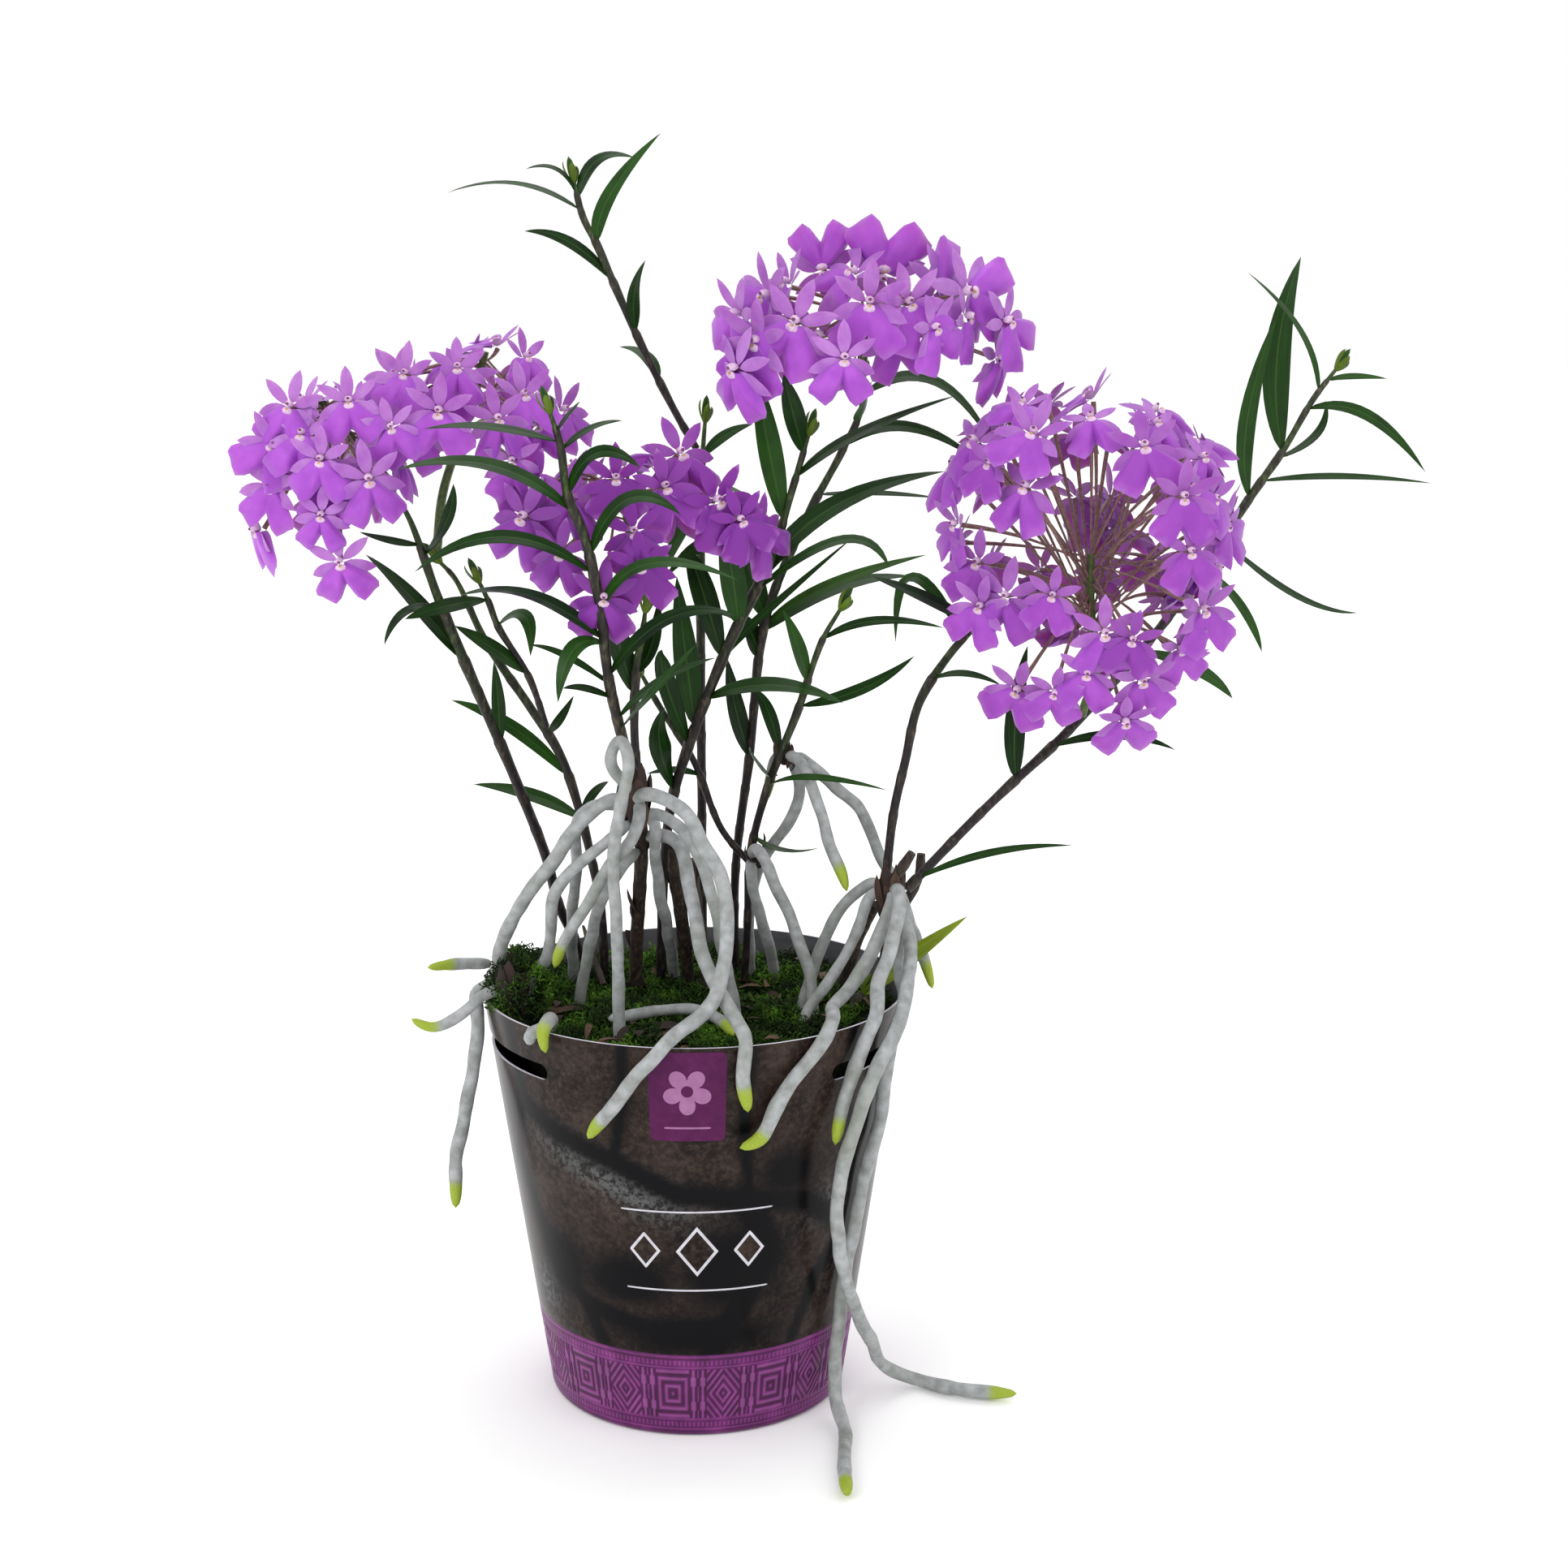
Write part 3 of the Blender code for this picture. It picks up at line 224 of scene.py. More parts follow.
# Aerial roots. inside: (x, y, height above the moss). rim: the azimuths just inside and outside the
# rim where a root crosses it, from the front, positive towards +X. outside: (azimuth, gap to the
# wall, share of the pot's height). floor: (x, y) where it lies on the ground that the pot stands on.
ROOTS = {
    "root_looped": dict(
        inside=[(-21, -36, 86), (-24, -41, 91), (-28, -43, 98), (-24, -46, 107), (-21, -47, 100),
                (-25, -47, 81), (-27, -46, 63), (-26, -44, 48), (-26, -42, 30), (-26, -40, 16),
                (-26, -38, -8)]),
    "root_over_left_rim": dict(
        inside=[(-20, -34, 82), (-26, -34, 84), (-38, -33, 76), (-46, -30, 64), (-55, -26, 52),
                (-62, -21, 39), (-68, -16, 25)],
        rim=(-79, -79),
        outside=[(-79, 1, 0.95), (-79, 5, 0.84), (-79, 11, 0.73), (-79, 17, 0.62), (-79, 21, 0.48)]),
    "root_left_inner": dict(
        inside=[(-20, -31, 80), (-24, -26, 80), (-33, -24, 80), (-40, -20, 73), (-41, -12, 57), (-43, 2, 35),
                (-44, 16, 17), (-45, 30, -8)]),
    "root_left_outer": dict(
        inside=[(-21, -34, 76), (-28, -36, 70), (-38, -35, 62), (-47, -32, 52), (-49, -26, 38),
                (-51, -20, 24), (-57, -14, 15), (-60, -10, 5), (-60, -9, -8)]),
    "root_left_hanging": dict(
        inside=[(-19, -35, 84), (-18, -41, 80), (-22, -41, 69), (-29, -40, 62), (-34, -38, 51),
                (-40, -36, 41), (-45, -34, 33), (-48, -32, 24)]),
    "root_left_thin": dict(
        inside=[(-19, -18, 62), (-26, -26, 56), (-32, -30, 47), (-35, -24, 35), (-39, -14, 16),
                (-43, -4, -8)]),
    "root_over_front_rim": dict(
        inside=[(-20, -36, 83), (-16, -41, 87), (-9, -44, 86), (-1, -47, 80), (3, -50, 71), (9, -52, 61),
                (11, -54, 50), (10, -57, 37), (9, -60, 29), (5, -66, 20)],
        rim=(-4, -7),
        outside=[(-11, 1, 0.97), (-16, 1.5, 0.92), (-22, 2, 0.85), (-29, 2, 0.77)]),
    "root_front_inner": dict(
        inside=[(-20, -33, 77), (-14, -31, 78), (-7, -34, 76), (0, -38, 68), (6, -40, 51), (10, -36, 28),
                (13, -30, 13), (14, -26, -8)]),
    "root_over_front_middle": dict(
        inside=[(-17, -18, 66), (-12, -20, 68), (-6, -22, 66), (-3, -26, 58), (-1, -34, 48), (2, -46, 34),
                (5, -51, 27), (11, -62, 20)],
        rim=(12, 12),
        outside=[(12, 1, 0.96), (12, 1.5, 0.91), (13, 2, 0.85)]),
    "root_centre_back": dict(
        inside=[(-20, -29, 77), (-14, -26, 75), (-13, -21, 58), (-11, -8, 39), (-9, 10, 20), (-6, 30, -8)]),
    "root_on_moss": dict(
        inside=[(-30, -30, 5), (-21, -29, 6), (-13, -25, 6), (1, -24, 6), (9, -37, 6), (13, -50, 5)]),
    "root_tip_left": dict(inside=[(-47, -44, 4), (-49, -50, 9)], rim=(-42, -41), outside=[(-40, 1, 0.96)]),
    "root_side_upper": dict(
        inside=[(-72, 5, 15), (-83, 1, 16), (-94, -6, 17)]),
    "root_side_lower": dict(
        inside=[(-66, -22, 14), (-74, -28, 13), (-82, -33, 7), (-91, -35, 4), (-97, -34, 7)]),
    "root_right_short": dict(
        inside=[(30, 20, 88), (28, 21, 80), (26, 21, 70)]),
    "root_right_thick": dict(
        inside=[(31, 9, 92), (34, 10, 89), (37, 9, 82), (37, 9, 72), (33, 11, 63), (28, 15, 55),
                (23, 16, 46), (20, 17, 32), (20, 22, 14), (20, 34, -8)]),
    "root_right_middle": dict(
        inside=[(33, 5, 90), (37, -3, 90), (40, -7, 84), (44, -9, 73), (48, -11, 60), (51, -13, 53),
                (53, -16, 46)]),
    "root_right_arching": dict(
        inside=[(36, 4, 91), (43, 0, 86), (51, 1, 78), (59, 3, 71), (63, 4, 62), (66, 5, 53), (71, 4, 45),
                (76, 2, 31), (81, -4, 19), (84, -8, 8)]),
    "root_middle_back": dict(
        inside=[(20, 11, 52), (22, 0, 58), (24, -11, 57), (28, -12, 48), (34, -14, 35), (38, -16, 22),
                (41, -19, 9), (41, -23, -8)]),
    "root_middle_thin": dict(
        inside=[(20, 11, 51), (20, 6, 47), (23, 8, 32), (27, 14, 18), (31, 33, -8)]),
    "root_fan_left": dict(
        inside=[(67, -13, 46), (62, -8, 47), (52, -8, 38), (46, -7, 27), (43, -7, 18), (39, -9, 9),
                (34, -15, -8)]),
    "root_fan_second": dict(
        inside=[(68, -15, 45), (62, -16, 46), (57, -18, 34), (52, -20, 23), (45, -24, 14), (38, -29, 5),
                (36, -31, -8)]),
    "root_fan_over_front": dict(
        inside=[(68, -16, 46), (69, -22, 47), (63, -27, 31), (54, -34, 18), (46, -47, 13)],
        rim=(41, 35),
        outside=[(30, 1, 0.96), (24, 1.5, 0.91), (20, 2, 0.84), (16, 2.5, 0.78), (11, 3, 0.765)]),
    "root_fan_over_right": dict(
        inside=[(69, -17, 46), (70, -24, 49), (70, -30, 45), (67, -35, 30), (62, -41, 20)],
        outside=[(51, 1, 1.02), (46, 1, 0.95), (43, 2, 0.89), (41, 2, 0.82), (39, 3, 0.73)]),
    "root_long_front": dict(
        inside=[(69, -14, 45), (72, -14, 38), (72, -19, 27), (71, -26, 18)],
        outside=[(65, 2, 1.02), (60, 1, 0.93), (61, 1, 0.83), (62, 1, 0.73), (58, 1, 0.65), (56, 1, 0.57),
                 (55, 1, 0.47), (53, 1, 0.38), (52, 2, 0.26), (51, 4, 0.14),
                 (50, 6, 0.06)],
        floor=[(51, -58), (50, -70), (49, -86), (49, -103)]),
    "root_long_right": dict(
        inside=[(69, -17, 45), (73, -22, 36), (74, -31, 24)],
        outside=[(56, 6, 1.0), (48, 8, 0.93), (44, 8, 0.86), (42, 8, 0.79), (39, 8, 0.68), (39, 8, 0.54),
                 (42, 9, 0.44), (48, 10, 0.32), (57, 12, 0.20), (68, 14, 0.09)],
        floor=[(79, -17), (90, -24), (101, -28), (114, -30)]),
}

# Flower heads. A stalk is a route from below. A head has flowers over a dome (its centre and radii,
# the way it is open, how far the opening plane lies from the centre, and how many), or flowers that
# are each given: place, turn of the lip clockwise from hanging as seen from the front, yaw to the
# right, and pitch upwards, in degrees. shade is painted shade: how far the head's flowers are darkened
# towards a deep violet, more for heads that sit in shade.
HEADS = {
    "flower_head_left": dict(
        centre=(-121, -6, 184), radii=(30, 31, 39), opening=(0.25, 0.0, -1.0), offset=6, count=16,
        stalk=[(-103, -2, 188), (-114, -4, 202), (-124, -6, 215)], scale=0.92, shade=0.0,
        given=[(-131, -24, 214, 15, -15, 10), (-111, -32, 216, -5, 0, 15), (-120, -36, 198, 5, -10, 0),
               (-105, -38, 192, -10, 10, -5), (-98, -32, 208, -15, 10, 0), (-121, -34, 180, 8, -5, -10),
               (-116, -30, 164, -8, 0, -10), (-138, -22, 188, 15, -25, 0)]),
    "flower_head_left_upper": dict(
        centre=(-70, 13, 207), radii=(28, 29, 32), opening=(0.0, 0.0, -1.0), offset=2, count=12,
        stalk=[(-89, 19, 161), (-86, 17, 182), (-75, 14, 212), (-70, 13, 230)], scale=0.92, shade=0.15,
        given=[(-94, -18, 224, 10, -8, 15), (-77, -18, 226, 0, 5, 15), (-82, -30, 213, 6, -5, 0),
               (-64, -22, 210, -12, 15, 0), (-53, -4, 206, -25, 30, 5), (-92, -8, 205, 12, -5, 5),
               (-60, -18, 196, -5, 12, -8), (-100, 6, 222, 20, -10, 20)]),
    "flower_head_middle": dict(
        centre=(-24, -9, 171), radii=(29, 22, 29), opening=(0.0, 0.0, -1.0), offset=2, count=7,
        stalk=[(-16, -13, 148), (-20, -11, 165), (-24, -9, 190)], scale=1.0, shade=0.8,
        given=[(-43, -36, 167, 8, -10, 0), (-29, -40, 153, 5, 0, -5), (-55, -28, 178, 22, -20, 5),
               (-19, -36, 174, -8, 5, 5), (-40, -28, 184, 6, -8, 5), (-25, -26, 190, 0, 5, 15),
               (-9, -22, 187, -15, 15, 10), (-4, -12, 197, -20, 20, 15), (8, -18, 182, -30, 25, 5),
               (16, -20, 176, -25, 20, 0), (22, -12, 171, -50, 40, 0), (-52, -15, 188, 30, -30, 5),
               (-17, -35, 163, -6, 5, -5)]),
    "flower_head_top": dict(
        stalk=[(59, 10, 222), (59, 6, 232), (59, 2, 243)], scale=1.12, shade=0.1,
        given=[(46, 20, 257, 172, -10, -5), (66, 18, 256, 190, 5, -5), (84, 8, 252, -108, 42, 0),
               (92, -2, 242, -62, 65, 0), (59, -20, 247, 4, 0, 8), (72, -16, 247, -22, 18, 5),
               (50, -32, 230, 2, 4, 0), (35, -22, 241, 24, -18, 5), (27, 0, 249, 66, -52, 5),
               (106, 0, 240, -52, 48, 10), (93, 2, 250, -84, 30, 10), (104, 6, 228, -28, 60, -10),
               (17, -5, 243, 42, -55, 0), (23, -18, 235, 18, -35, -5), (16, -20, 226, 26, -50, -5),
               (80, -16, 239, -35, 40, 0), (70, 2, 238, -20, 30, -10), (44, 0, 236, 20, -20, -10),
               (56, 8, 255, 60, -40, 50), (34, 6, 252, 40, -60, 30)]),
    "flower_head_right": dict(
        centre=(136, -4, 168), radii=(53, 50, 54), opening=(-0.35, -0.65, -0.7), offset=20, count=50,
        stalk=[(137, 8, 103), (141, 2, 122), (138, -3, 140), (137, -5, 152), (137, -5, 162)],
        scale=0.95, shade=0.42,
        given=[(160, -46, 186, 0, 8, 0), (163, -46, 168, -5, 10, 0), (146, -40, 138, 12, -5, -5),
               (120, -34, 152, 12, -12, 0), (106, -22, 150, 10, -20, 0), (98, -10, 160, 15, -30, 0),
               (122, -30, 119, 10, -10, -20), (146, -30, 109, -6, 5, -25), (132, -34, 126, 6, -5, -10),
               (151, -30, 123, -10, 10, -15), (164, -28, 133, -14, 20, -10), (111, -20, 118, 22, -25, -15),
               (171, -28, 146, -12, 25, 0), (98, -18, 146, 20, -25, 0), (137, -38, 140, 0, 0, -5)]),
}

# Two tufts of moss at the left: a centre as (x, y, height above the moss), and radii. Then a twig.
CLUMP = ((-62, 8, 9), (8, 9, 9))
FRONT_TUFT = ((-61, -20, 13), (10, 10, 9))
TWIG = [(-33, 14, 4), (-37, 24, 12), (-41, 36, 20)]
TWIG_RADIUS = 1.1


# --- patches

def patch(points, uv, wrap=False, material=0, **paint):
    """A grid of points as quads. Columns run anticlockwise seen from outside as rows go up. uv has one
    more column than a wrapped grid. paint gives one number per point, or per row."""
    rows, columns = points.shape[:2]
    i = np.arange(rows - 1)[:, None]
    j = np.arange(columns if wrap else columns - 1)[None, :]
    right = (j + 1) % columns
    quads = np.stack([i * columns + j, i * columns + right, (i + 1) * columns + right,
                      (i + 1) * columns + j], -1)
    corners = np.stack([uv[i, j], uv[i, j + 1], uv[i + 1, j + 1], uv[i + 1, j]], 2)
    painted = {}
    for name, value in paint.items():
        value = np.asarray(value, float)
        if value.ndim == 1:
            value = value[:, None]
        painted[name] = np.broadcast_to(value, (rows, columns)).ravel()
    quads = quads.reshape(-1, 4)
    return dict(points=points.reshape(-1, 3), quads=quads, uv=corners.reshape(-1, 4, 2),
                material=np.full(len(quads), material), paint=painted)


def joined(patches):
    """Several patches as one, their quads renumbered. A paint that a patch lacks is 0 there."""
    starts = np.cumsum([0] + [len(p["points"]) for p in patches[:-1]])
    names = sorted({name for p in patches for name in p["paint"]})
    return dict(
        points=np.concatenate([p["points"] for p in patches]),
        quads=np.concatenate([p["quads"] + start for p, start in zip(patches, starts)]),
        uv=np.concatenate([p["uv"] for p in patches]),
        material=np.concatenate([p["material"] for p in patches]),
        paint={name: np.concatenate([p["paint"].get(name, np.zeros(len(p["points"])))
                                     for p in patches]) for name in names})


def scattered(shape, places, turns, scales, **paint):
    """Copies of a patch: each is scaled, turned by its own 3x3 matrix and moved to its place."""
    count, size = len(places), len(shape["points"])
    points = np.einsum("kij,nj->kni", turns, shape["points"]) * scales[:, None, None]
    points = points + places[:, None, :]
    quads = shape["quads"][None] + (np.arange(count) * size)[:, None, None]
    painted = {name: np.tile(value, count) for name, value in shape["paint"].items()}
    for name, value in paint.items():
        painted[name] = np.repeat(value, size)
    return dict(points=points.reshape(-1, 3), quads=quads.reshape(-1, 4),
                uv=np.tile(shape["uv"], (count, 1, 1)), material=np.tile(shape["material"], count),
                paint=painted)


def unit(vectors):
    """Vectors over their own lengths."""
    return vectors / np.linalg.norm(vectors, axis=-1, keepdims=True)


def tube(path, radius, sides=12, material=0, **paint):
    """A round body along a path, closed at both ends: each ring is square to the path, and turns with
    it as little as it can. uv is the distance along in mm and the share of the way round."""
    path = np.asarray(path, float)
    tangent = unit(np.gradient(path, axis=0))
    side = np.empty_like(path)
    least = np.eye(3)[np.argmin(np.abs(tangent[0]))]
    side[0] = unit(np.cross(tangent[0], least))
    for k in range(1, len(path)):
        side[k] = unit(side[k - 1] - tangent[k] * np.dot(side[k - 1], tangent[k]))
    up = np.cross(tangent, side)
    along = np.concatenate([[0], np.cumsum(np.linalg.norm(np.diff(path, axis=0), axis=1))])
    ends = [0, *range(len(path)), len(path) - 1]
    wide = np.broadcast_to(np.asarray(radius, float), len(path))[ends].copy()
    wide[0] = wide[-1] = 0.0
    angle = np.linspace(0, 2 * np.pi, sides, endpoint=False)
    c, s = np.cos(angle)[None, :, None], np.sin(angle)[None, :, None]
    around = c * side[ends][:, None] + s * up[ends][:, None]
    points = path[ends][:, None] + wide[:, None, None] * around
    uv = np.empty((len(ends), sides + 1, 2))
    uv[..., 0] = along[ends][:, None]
    uv[..., 1] = np.linspace(0, 1, sides + 1)[None, :]
    paint = {name: np.broadcast_to(np.asarray(value, float), len(path))[ends]
             for name, value in paint.items()}
    return patch(points, uv, wrap=True, material=material, **paint)


def blade(path, facing, width, thick, fold=0.0, sides=8, material=0, **paint):
    """A leaf or petal along a path: a lens-shaped section, whose edges rise by fold times their
    distance from the midrib. uv is the share along and across, and under is 1 on the back."""
    path = np.asarray(path, float)
    tangent = unit(np.gradient(path, axis=0))
    across = unit(np.cross(np.broadcast_to(facing, path.shape), tangent))
    up = np.cross(tangent, across)
    angle = np.linspace(0, 2 * np.pi, sides, endpoint=False)
    x, y = np.cos(angle), np.sin(angle)
    half = np.broadcast_to(np.asarray(width, float), len(path))[:, None, None] / 2
    rise = thick / 2 * y[None, :, None] * np.minimum(half, 1.0) + fold * half * np.abs(x)[None, :, None]
    points = path[:, None] + across[:, None] * half * x[None, :, None] + up[:, None] * rise
    points[0] = path[0]
    points[-1] = path[-1]
    uv = np.empty((len(path), sides + 1, 2))
    uv[..., 0] = np.linspace(0, 1, len(path))[:, None]
    uv[:, :, 1] = (np.append(x, x[0]) + 1) / 2
    under = np.broadcast_to((y < -0.1).astype(float), (len(path), sides))
    return patch(points, uv, wrap=True, material=material, under=under, **paint)


def turned(radius, height, azimuth, **paint):
    """A surface of revolution: rows of (radius, height), columns at the azimuths, measured from the
    front towards +X. radius and height may also be given per point. uv is azimuth and height in mm."""
    radius = np.asarray(radius, float)
    height = np.asarray(height, float)
    radius = radius if radius.ndim == 2 else radius[:, None] * np.ones(len(azimuth))
    height = height if height.ndim == 2 else height[:, None] * np.ones(len(azimuth))
    points = np.stack([radius * np.sin(azimuth), -radius * np.cos(azimuth), height], -1)
    round_again = np.append(azimuth, azimuth[0] + 2 * np.pi)
    uv = np.empty((len(radius), len(azimuth) + 1, 2))
    uv[..., 0] = round_again[None, :] * RIM_RADIUS
    uv[..., 1] = np.concatenate([height, height[:, :1]], axis=1)
    return patch(points, uv, wrap=True, **paint)


def ball(centre, radii, rows=5, columns=8, **paint):
    """An ellipsoid: circles of radius sin(t) at height -cos(t)."""
    t = np.linspace(0, np.pi, rows)
    azimuth = np.linspace(0, 2 * np.pi, columns, endpoint=False)
    shape = turned(np.sin(t), -np.cos(t), azimuth, **paint)
    shape["points"] = shape["points"] * radii + np.asarray(centre, float)
    return shape


def piece(name, shape, materials, replaces=(), smooth_angle=40.0):
    """Makes the mesh object of a patch: poles and shared edges are merged, and it rides on the root."""
    mesh = bpy.data.meshes.new(name)
    mesh.from_pydata(shape["points"] * MM, [], shape["quads"])
    mesh.uv_layers.new(name="wrap").data.foreach_set("uv", shape["uv"].ravel())
    mesh.polygons.foreach_set("material_index", shape["material"])
    for key, value in shape["paint"].items():
        mesh.attributes.new(key, "FLOAT", "POINT").data.foreach_set("value", value)
    work = bmesh.new()
    work.from_mesh(mesh)
    bmesh.ops.remove_doubles(work, verts=work.verts, dist=2e-7)
    work.to_mesh(mesh)
    work.free()
    mesh.shade_smooth()
    mesh.set_sharp_from_angle(angle=math.radians(smooth_angle))
    for material in materials:
        mesh.materials.append(material)
    thing = bpy.data.objects.new(name, mesh)
    bpy.context.scene.collection.objects.link(thing)
    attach(thing, "root")
    if replaces:
        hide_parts(*replaces)
    return thing


# --- materials

def srgb(text):
    """A hex colour as linear red, green, blue and alpha."""
    values = [int(text[k:k + 2], 16) / 255 for k in (1, 3, 5)]
    return (*[v / 12.92 if v <= 0.04045 else ((v + 0.055) / 1.055) ** 2.4 for v in values], 1.0)


def add(tree, kind, inputs=None, stops=None, **settings):
    """Adds a shader node. settings are its properties, inputs are values, hex colours, or the nodes
    and sockets that feed it, and stops are a Color Ramp's (place, grey or hex colour) pairs."""
    made = tree.nodes.new("ShaderNode" + kind)
    for key, value in settings.items():
        setattr(made, key, value)
    for key, value in (inputs or {}).items():
        if isinstance(value, bpy.types.Node):
            value = next(out for out in value.outputs if out.enabled)
        if isinstance(value, bpy.types.NodeSocket):
            tree.links.new(value, made.inputs[key])
        else:
            made.inputs[key].default_value = srgb(value) if isinstance(value, str) else value
    for index, (place, colour) in enumerate(stops or ()):
        stop = made.color_ramp.elements[index] if index < 2 else made.color_ramp.elements.new(place)
        stop.position = place
        stop.color = srgb(colour) if isinstance(colour, str) else (colour, colour, colour, 1)
    return made


def material(name):
    """A bare material, its node tree and its Object coordinates."""
    made = bpy.data.materials.new(name)
    made.use_nodes = True
    tree = made.node_tree
    tree.nodes.clear()
    return made, tree, add(tree, "TexCoord").outputs["Object"]


def surface(tree, inputs):
    """The Principled shader on the material's output, with its inputs."""
    add(tree, "OutputMaterial", {"Surface": add(tree, "BsdfPrincipled", inputs)})


def mottled(name, size, colours, detail=2, drawn=1, satin=None, relief=None, **finish):
    """A material of one noise, with blotches `size` mm across whose heights are divided by `drawn`. The
    noise gives the colour and, where they are given, the roughness and a relief in mm."""
    made, tree, here = material(name)
    placed = add(tree, "Mapping", {"Vector": here, "Scale": (1, 1, drawn)})
    blotch = add(tree, "TexNoise", {"Vector": placed, "Scale": 1 / (size * MM), "Detail": detail})
    inputs = {key.replace("_", " "): value for key, value in finish.items()}
    inputs["Base Color"] = add(tree, "ValToRGB", {0: blotch}, colours)
    if satin:
        inputs["Roughness"] = add(tree, "ValToRGB", {0: blotch}, satin)
    if relief:
        inputs["Normal"] = add(tree, "Bump", {"Height": blotch, "Distance": relief * MM, "Strength": 0.9})
    surface(tree, inputs)
    return made


def plain_ink(name, low, high):
    """One printed ink under the pot's varnish, a little uneven as screen printing leaves it."""
    return mottled(name, 3, [(0.3, low), (0.7, high)], Roughness=0.24, Specular_IOR_Level=0.1)


def small_flesh(name, dark, light):
    """A small fleshy flower part: waxy, nearly even in colour."""
    return mottled(name, 1.5, [(0.35, dark), (0.65, light)], detail=3, Roughness=0.4, IOR=1.45)


def printed_polypropylene():
    """Polypropylene sheet, printed and varnished: a smooth gloss over a picture of weathered stone."""
    made, tree, here = material("printed_polypropylene")
    grain = add(tree, "TexNoise", {"Vector": here, "Scale": 1 / (2.2 * MM), "Detail": 6, "Roughness": 0.7})
    blotch = add(tree, "TexNoise", {"Vector": here, "Scale": 1 / (16 * MM), "Detail": 4})
    stone = add(tree, "ValToRGB", {0: blotch}, [(0.30, "#15100E"), (0.50, "#271E1B"), (0.68, "#382D28")])
    crust = add(tree, "ValToRGB", {0: grain}, [(0.46, 0.0), (0.70, 0.55)])
    pits = add(tree, "ValToRGB", {0: grain}, [(0.30, 0.7), (0.44, 0.0)])
    flakes = add(tree, "ValToRGB", {0: grain}, [(0.44, "#2A2827"), (0.56, "#646666")])
    stone = add(tree, "Mix", {0: crust, 6: stone, 7: "#54473F"}, data_type="RGBA")
    stone = add(tree, "Mix", {0: pits, 6: stone, 7: "#120E0D"}, data_type="RGBA")
    weather = add(tree, "Attribute", attribute_name="weather")
    stone = add(tree, "Mix", {0: weather, 6: stone, 7: flakes}, data_type="RGBA")
    joint = add(tree, "Attribute", attribute_name="joint")
    stone = add(tree, "Mix", {0: joint, 6: stone, 7: "#08070A"}, data_type="RGBA")
    surface(tree, {"Base Color": stone, "Roughness": 0.24, "Specular IOR Level": 0.1})
    return made


def printed_band():
    """The embossed and printed foot band: purple ink that pools in the grooves, worn pale on ridges."""
    made, tree, here = material("embossed_purple_band")
    blotch = add(tree, "TexNoise", {"Vector": here, "Scale": 1 / (7 * MM), "Detail": 5})
    relief = add(tree, "Attribute", attribute_name="relief")
    ink = add(tree, "ValToRGB", {0: blotch}, [(0.3, "#531A50"), (0.52, "#6A2265"), (0.7, "#7E3278")])
    pooled = add(tree, "ValToRGB", {0: relief}, [(0.15, 0.75), (0.6, 0.0)])
    ink = add(tree, "Mix", {0: pooled, 6: ink, 7: "#350F33"}, data_type="RGBA")
    worn = add(tree, "ValToRGB", {0: relief}, [(0.72, 0.0), (1.0, 0.34)])
    ink = add(tree, "Mix", {0: worn, 6: ink, 7: "#A765A2"}, data_type="RGBA")
    fine = add(tree, "TexNoise", {"Vector": here, "Scale": 1 / (0.9 * MM)})
    dents = add(tree, "Bump", {"Height": fine, "Distance": 0.12 * MM, "Strength": 0.5})
    surface(tree, {"Base Color": ink, "Roughness": 0.3, "Specular IOR Level": 0.22, "Normal": dents})
    return made


def bark_chips():
    """Fir bark broken into 8 mm chips: angular, with painted shade that darkens the gaps between them."""
    made, tree, here = material("fir_bark_chips")
    chips = add(tree, "TexVoronoi", {"Vector": here, "Scale": 1 / (8 * MM)})
    edges = add(tree, "TexVoronoi", {"Vector": here, "Scale": 1 / (8 * MM)}, feature="DISTANCE_TO_EDGE")
    bark = add(tree, "Mix", {0: chips.outputs["Color"], 6: "#4A2D1C", 7: "#7A5236"}, data_type="RGBA")
    # Painted shade: near black along the chips' edges, where the gaps between them lie in shade.
    painted_gap_shade = add(tree, "ValToRGB", {0: edges}, [(0.0, 1.0), (0.12, 0.0)])
    bark = add(tree, "Mix", {0: painted_gap_shade, 6: bark, 7: "#150C08"}, data_type="RGBA")
    stand = add(tree, "Bump", {"Height": edges, "Distance": 2 * MM, "Strength": 0.8})
    surface(tree, {"Base Color": bark, "Roughness": 0.9, "Normal": stand})
    return made


def moss_green():
    """Living moss: matt, with painted shade that makes it nearly black in its depths, yellow-green at the
    growing tips.
    """
    made, tree, here = material("living_moss")
    patchy = add(tree, "TexNoise", {"Vector": here, "Scale": 1 / (14 * MM), "Detail": 3})
    deep = add(tree, "ValToRGB", {0: patchy}, [(0.36, "#0A1004"), (0.6, "#141F08")])
    tips = add(tree, "ValToRGB", {0: patchy}, [(0.34, "#1A2C0A"), (0.5, "#2F4E12"), (0.66, "#57821F")])
    # Painted shade: lit goes from 0 at a sprig's foot to 1 at its tip, so the depths are painted nearly
    # black.
    lit = add(tree, "Attribute", attribute_name="lit")
    moss = add(tree, "Mix", {0: lit, 6: deep, 7: tips}, data_type="RGBA")
    surface(tree, {"Base Color": moss, "Roughness": 0.85, "Specular IOR Level": 0.25})
    return made


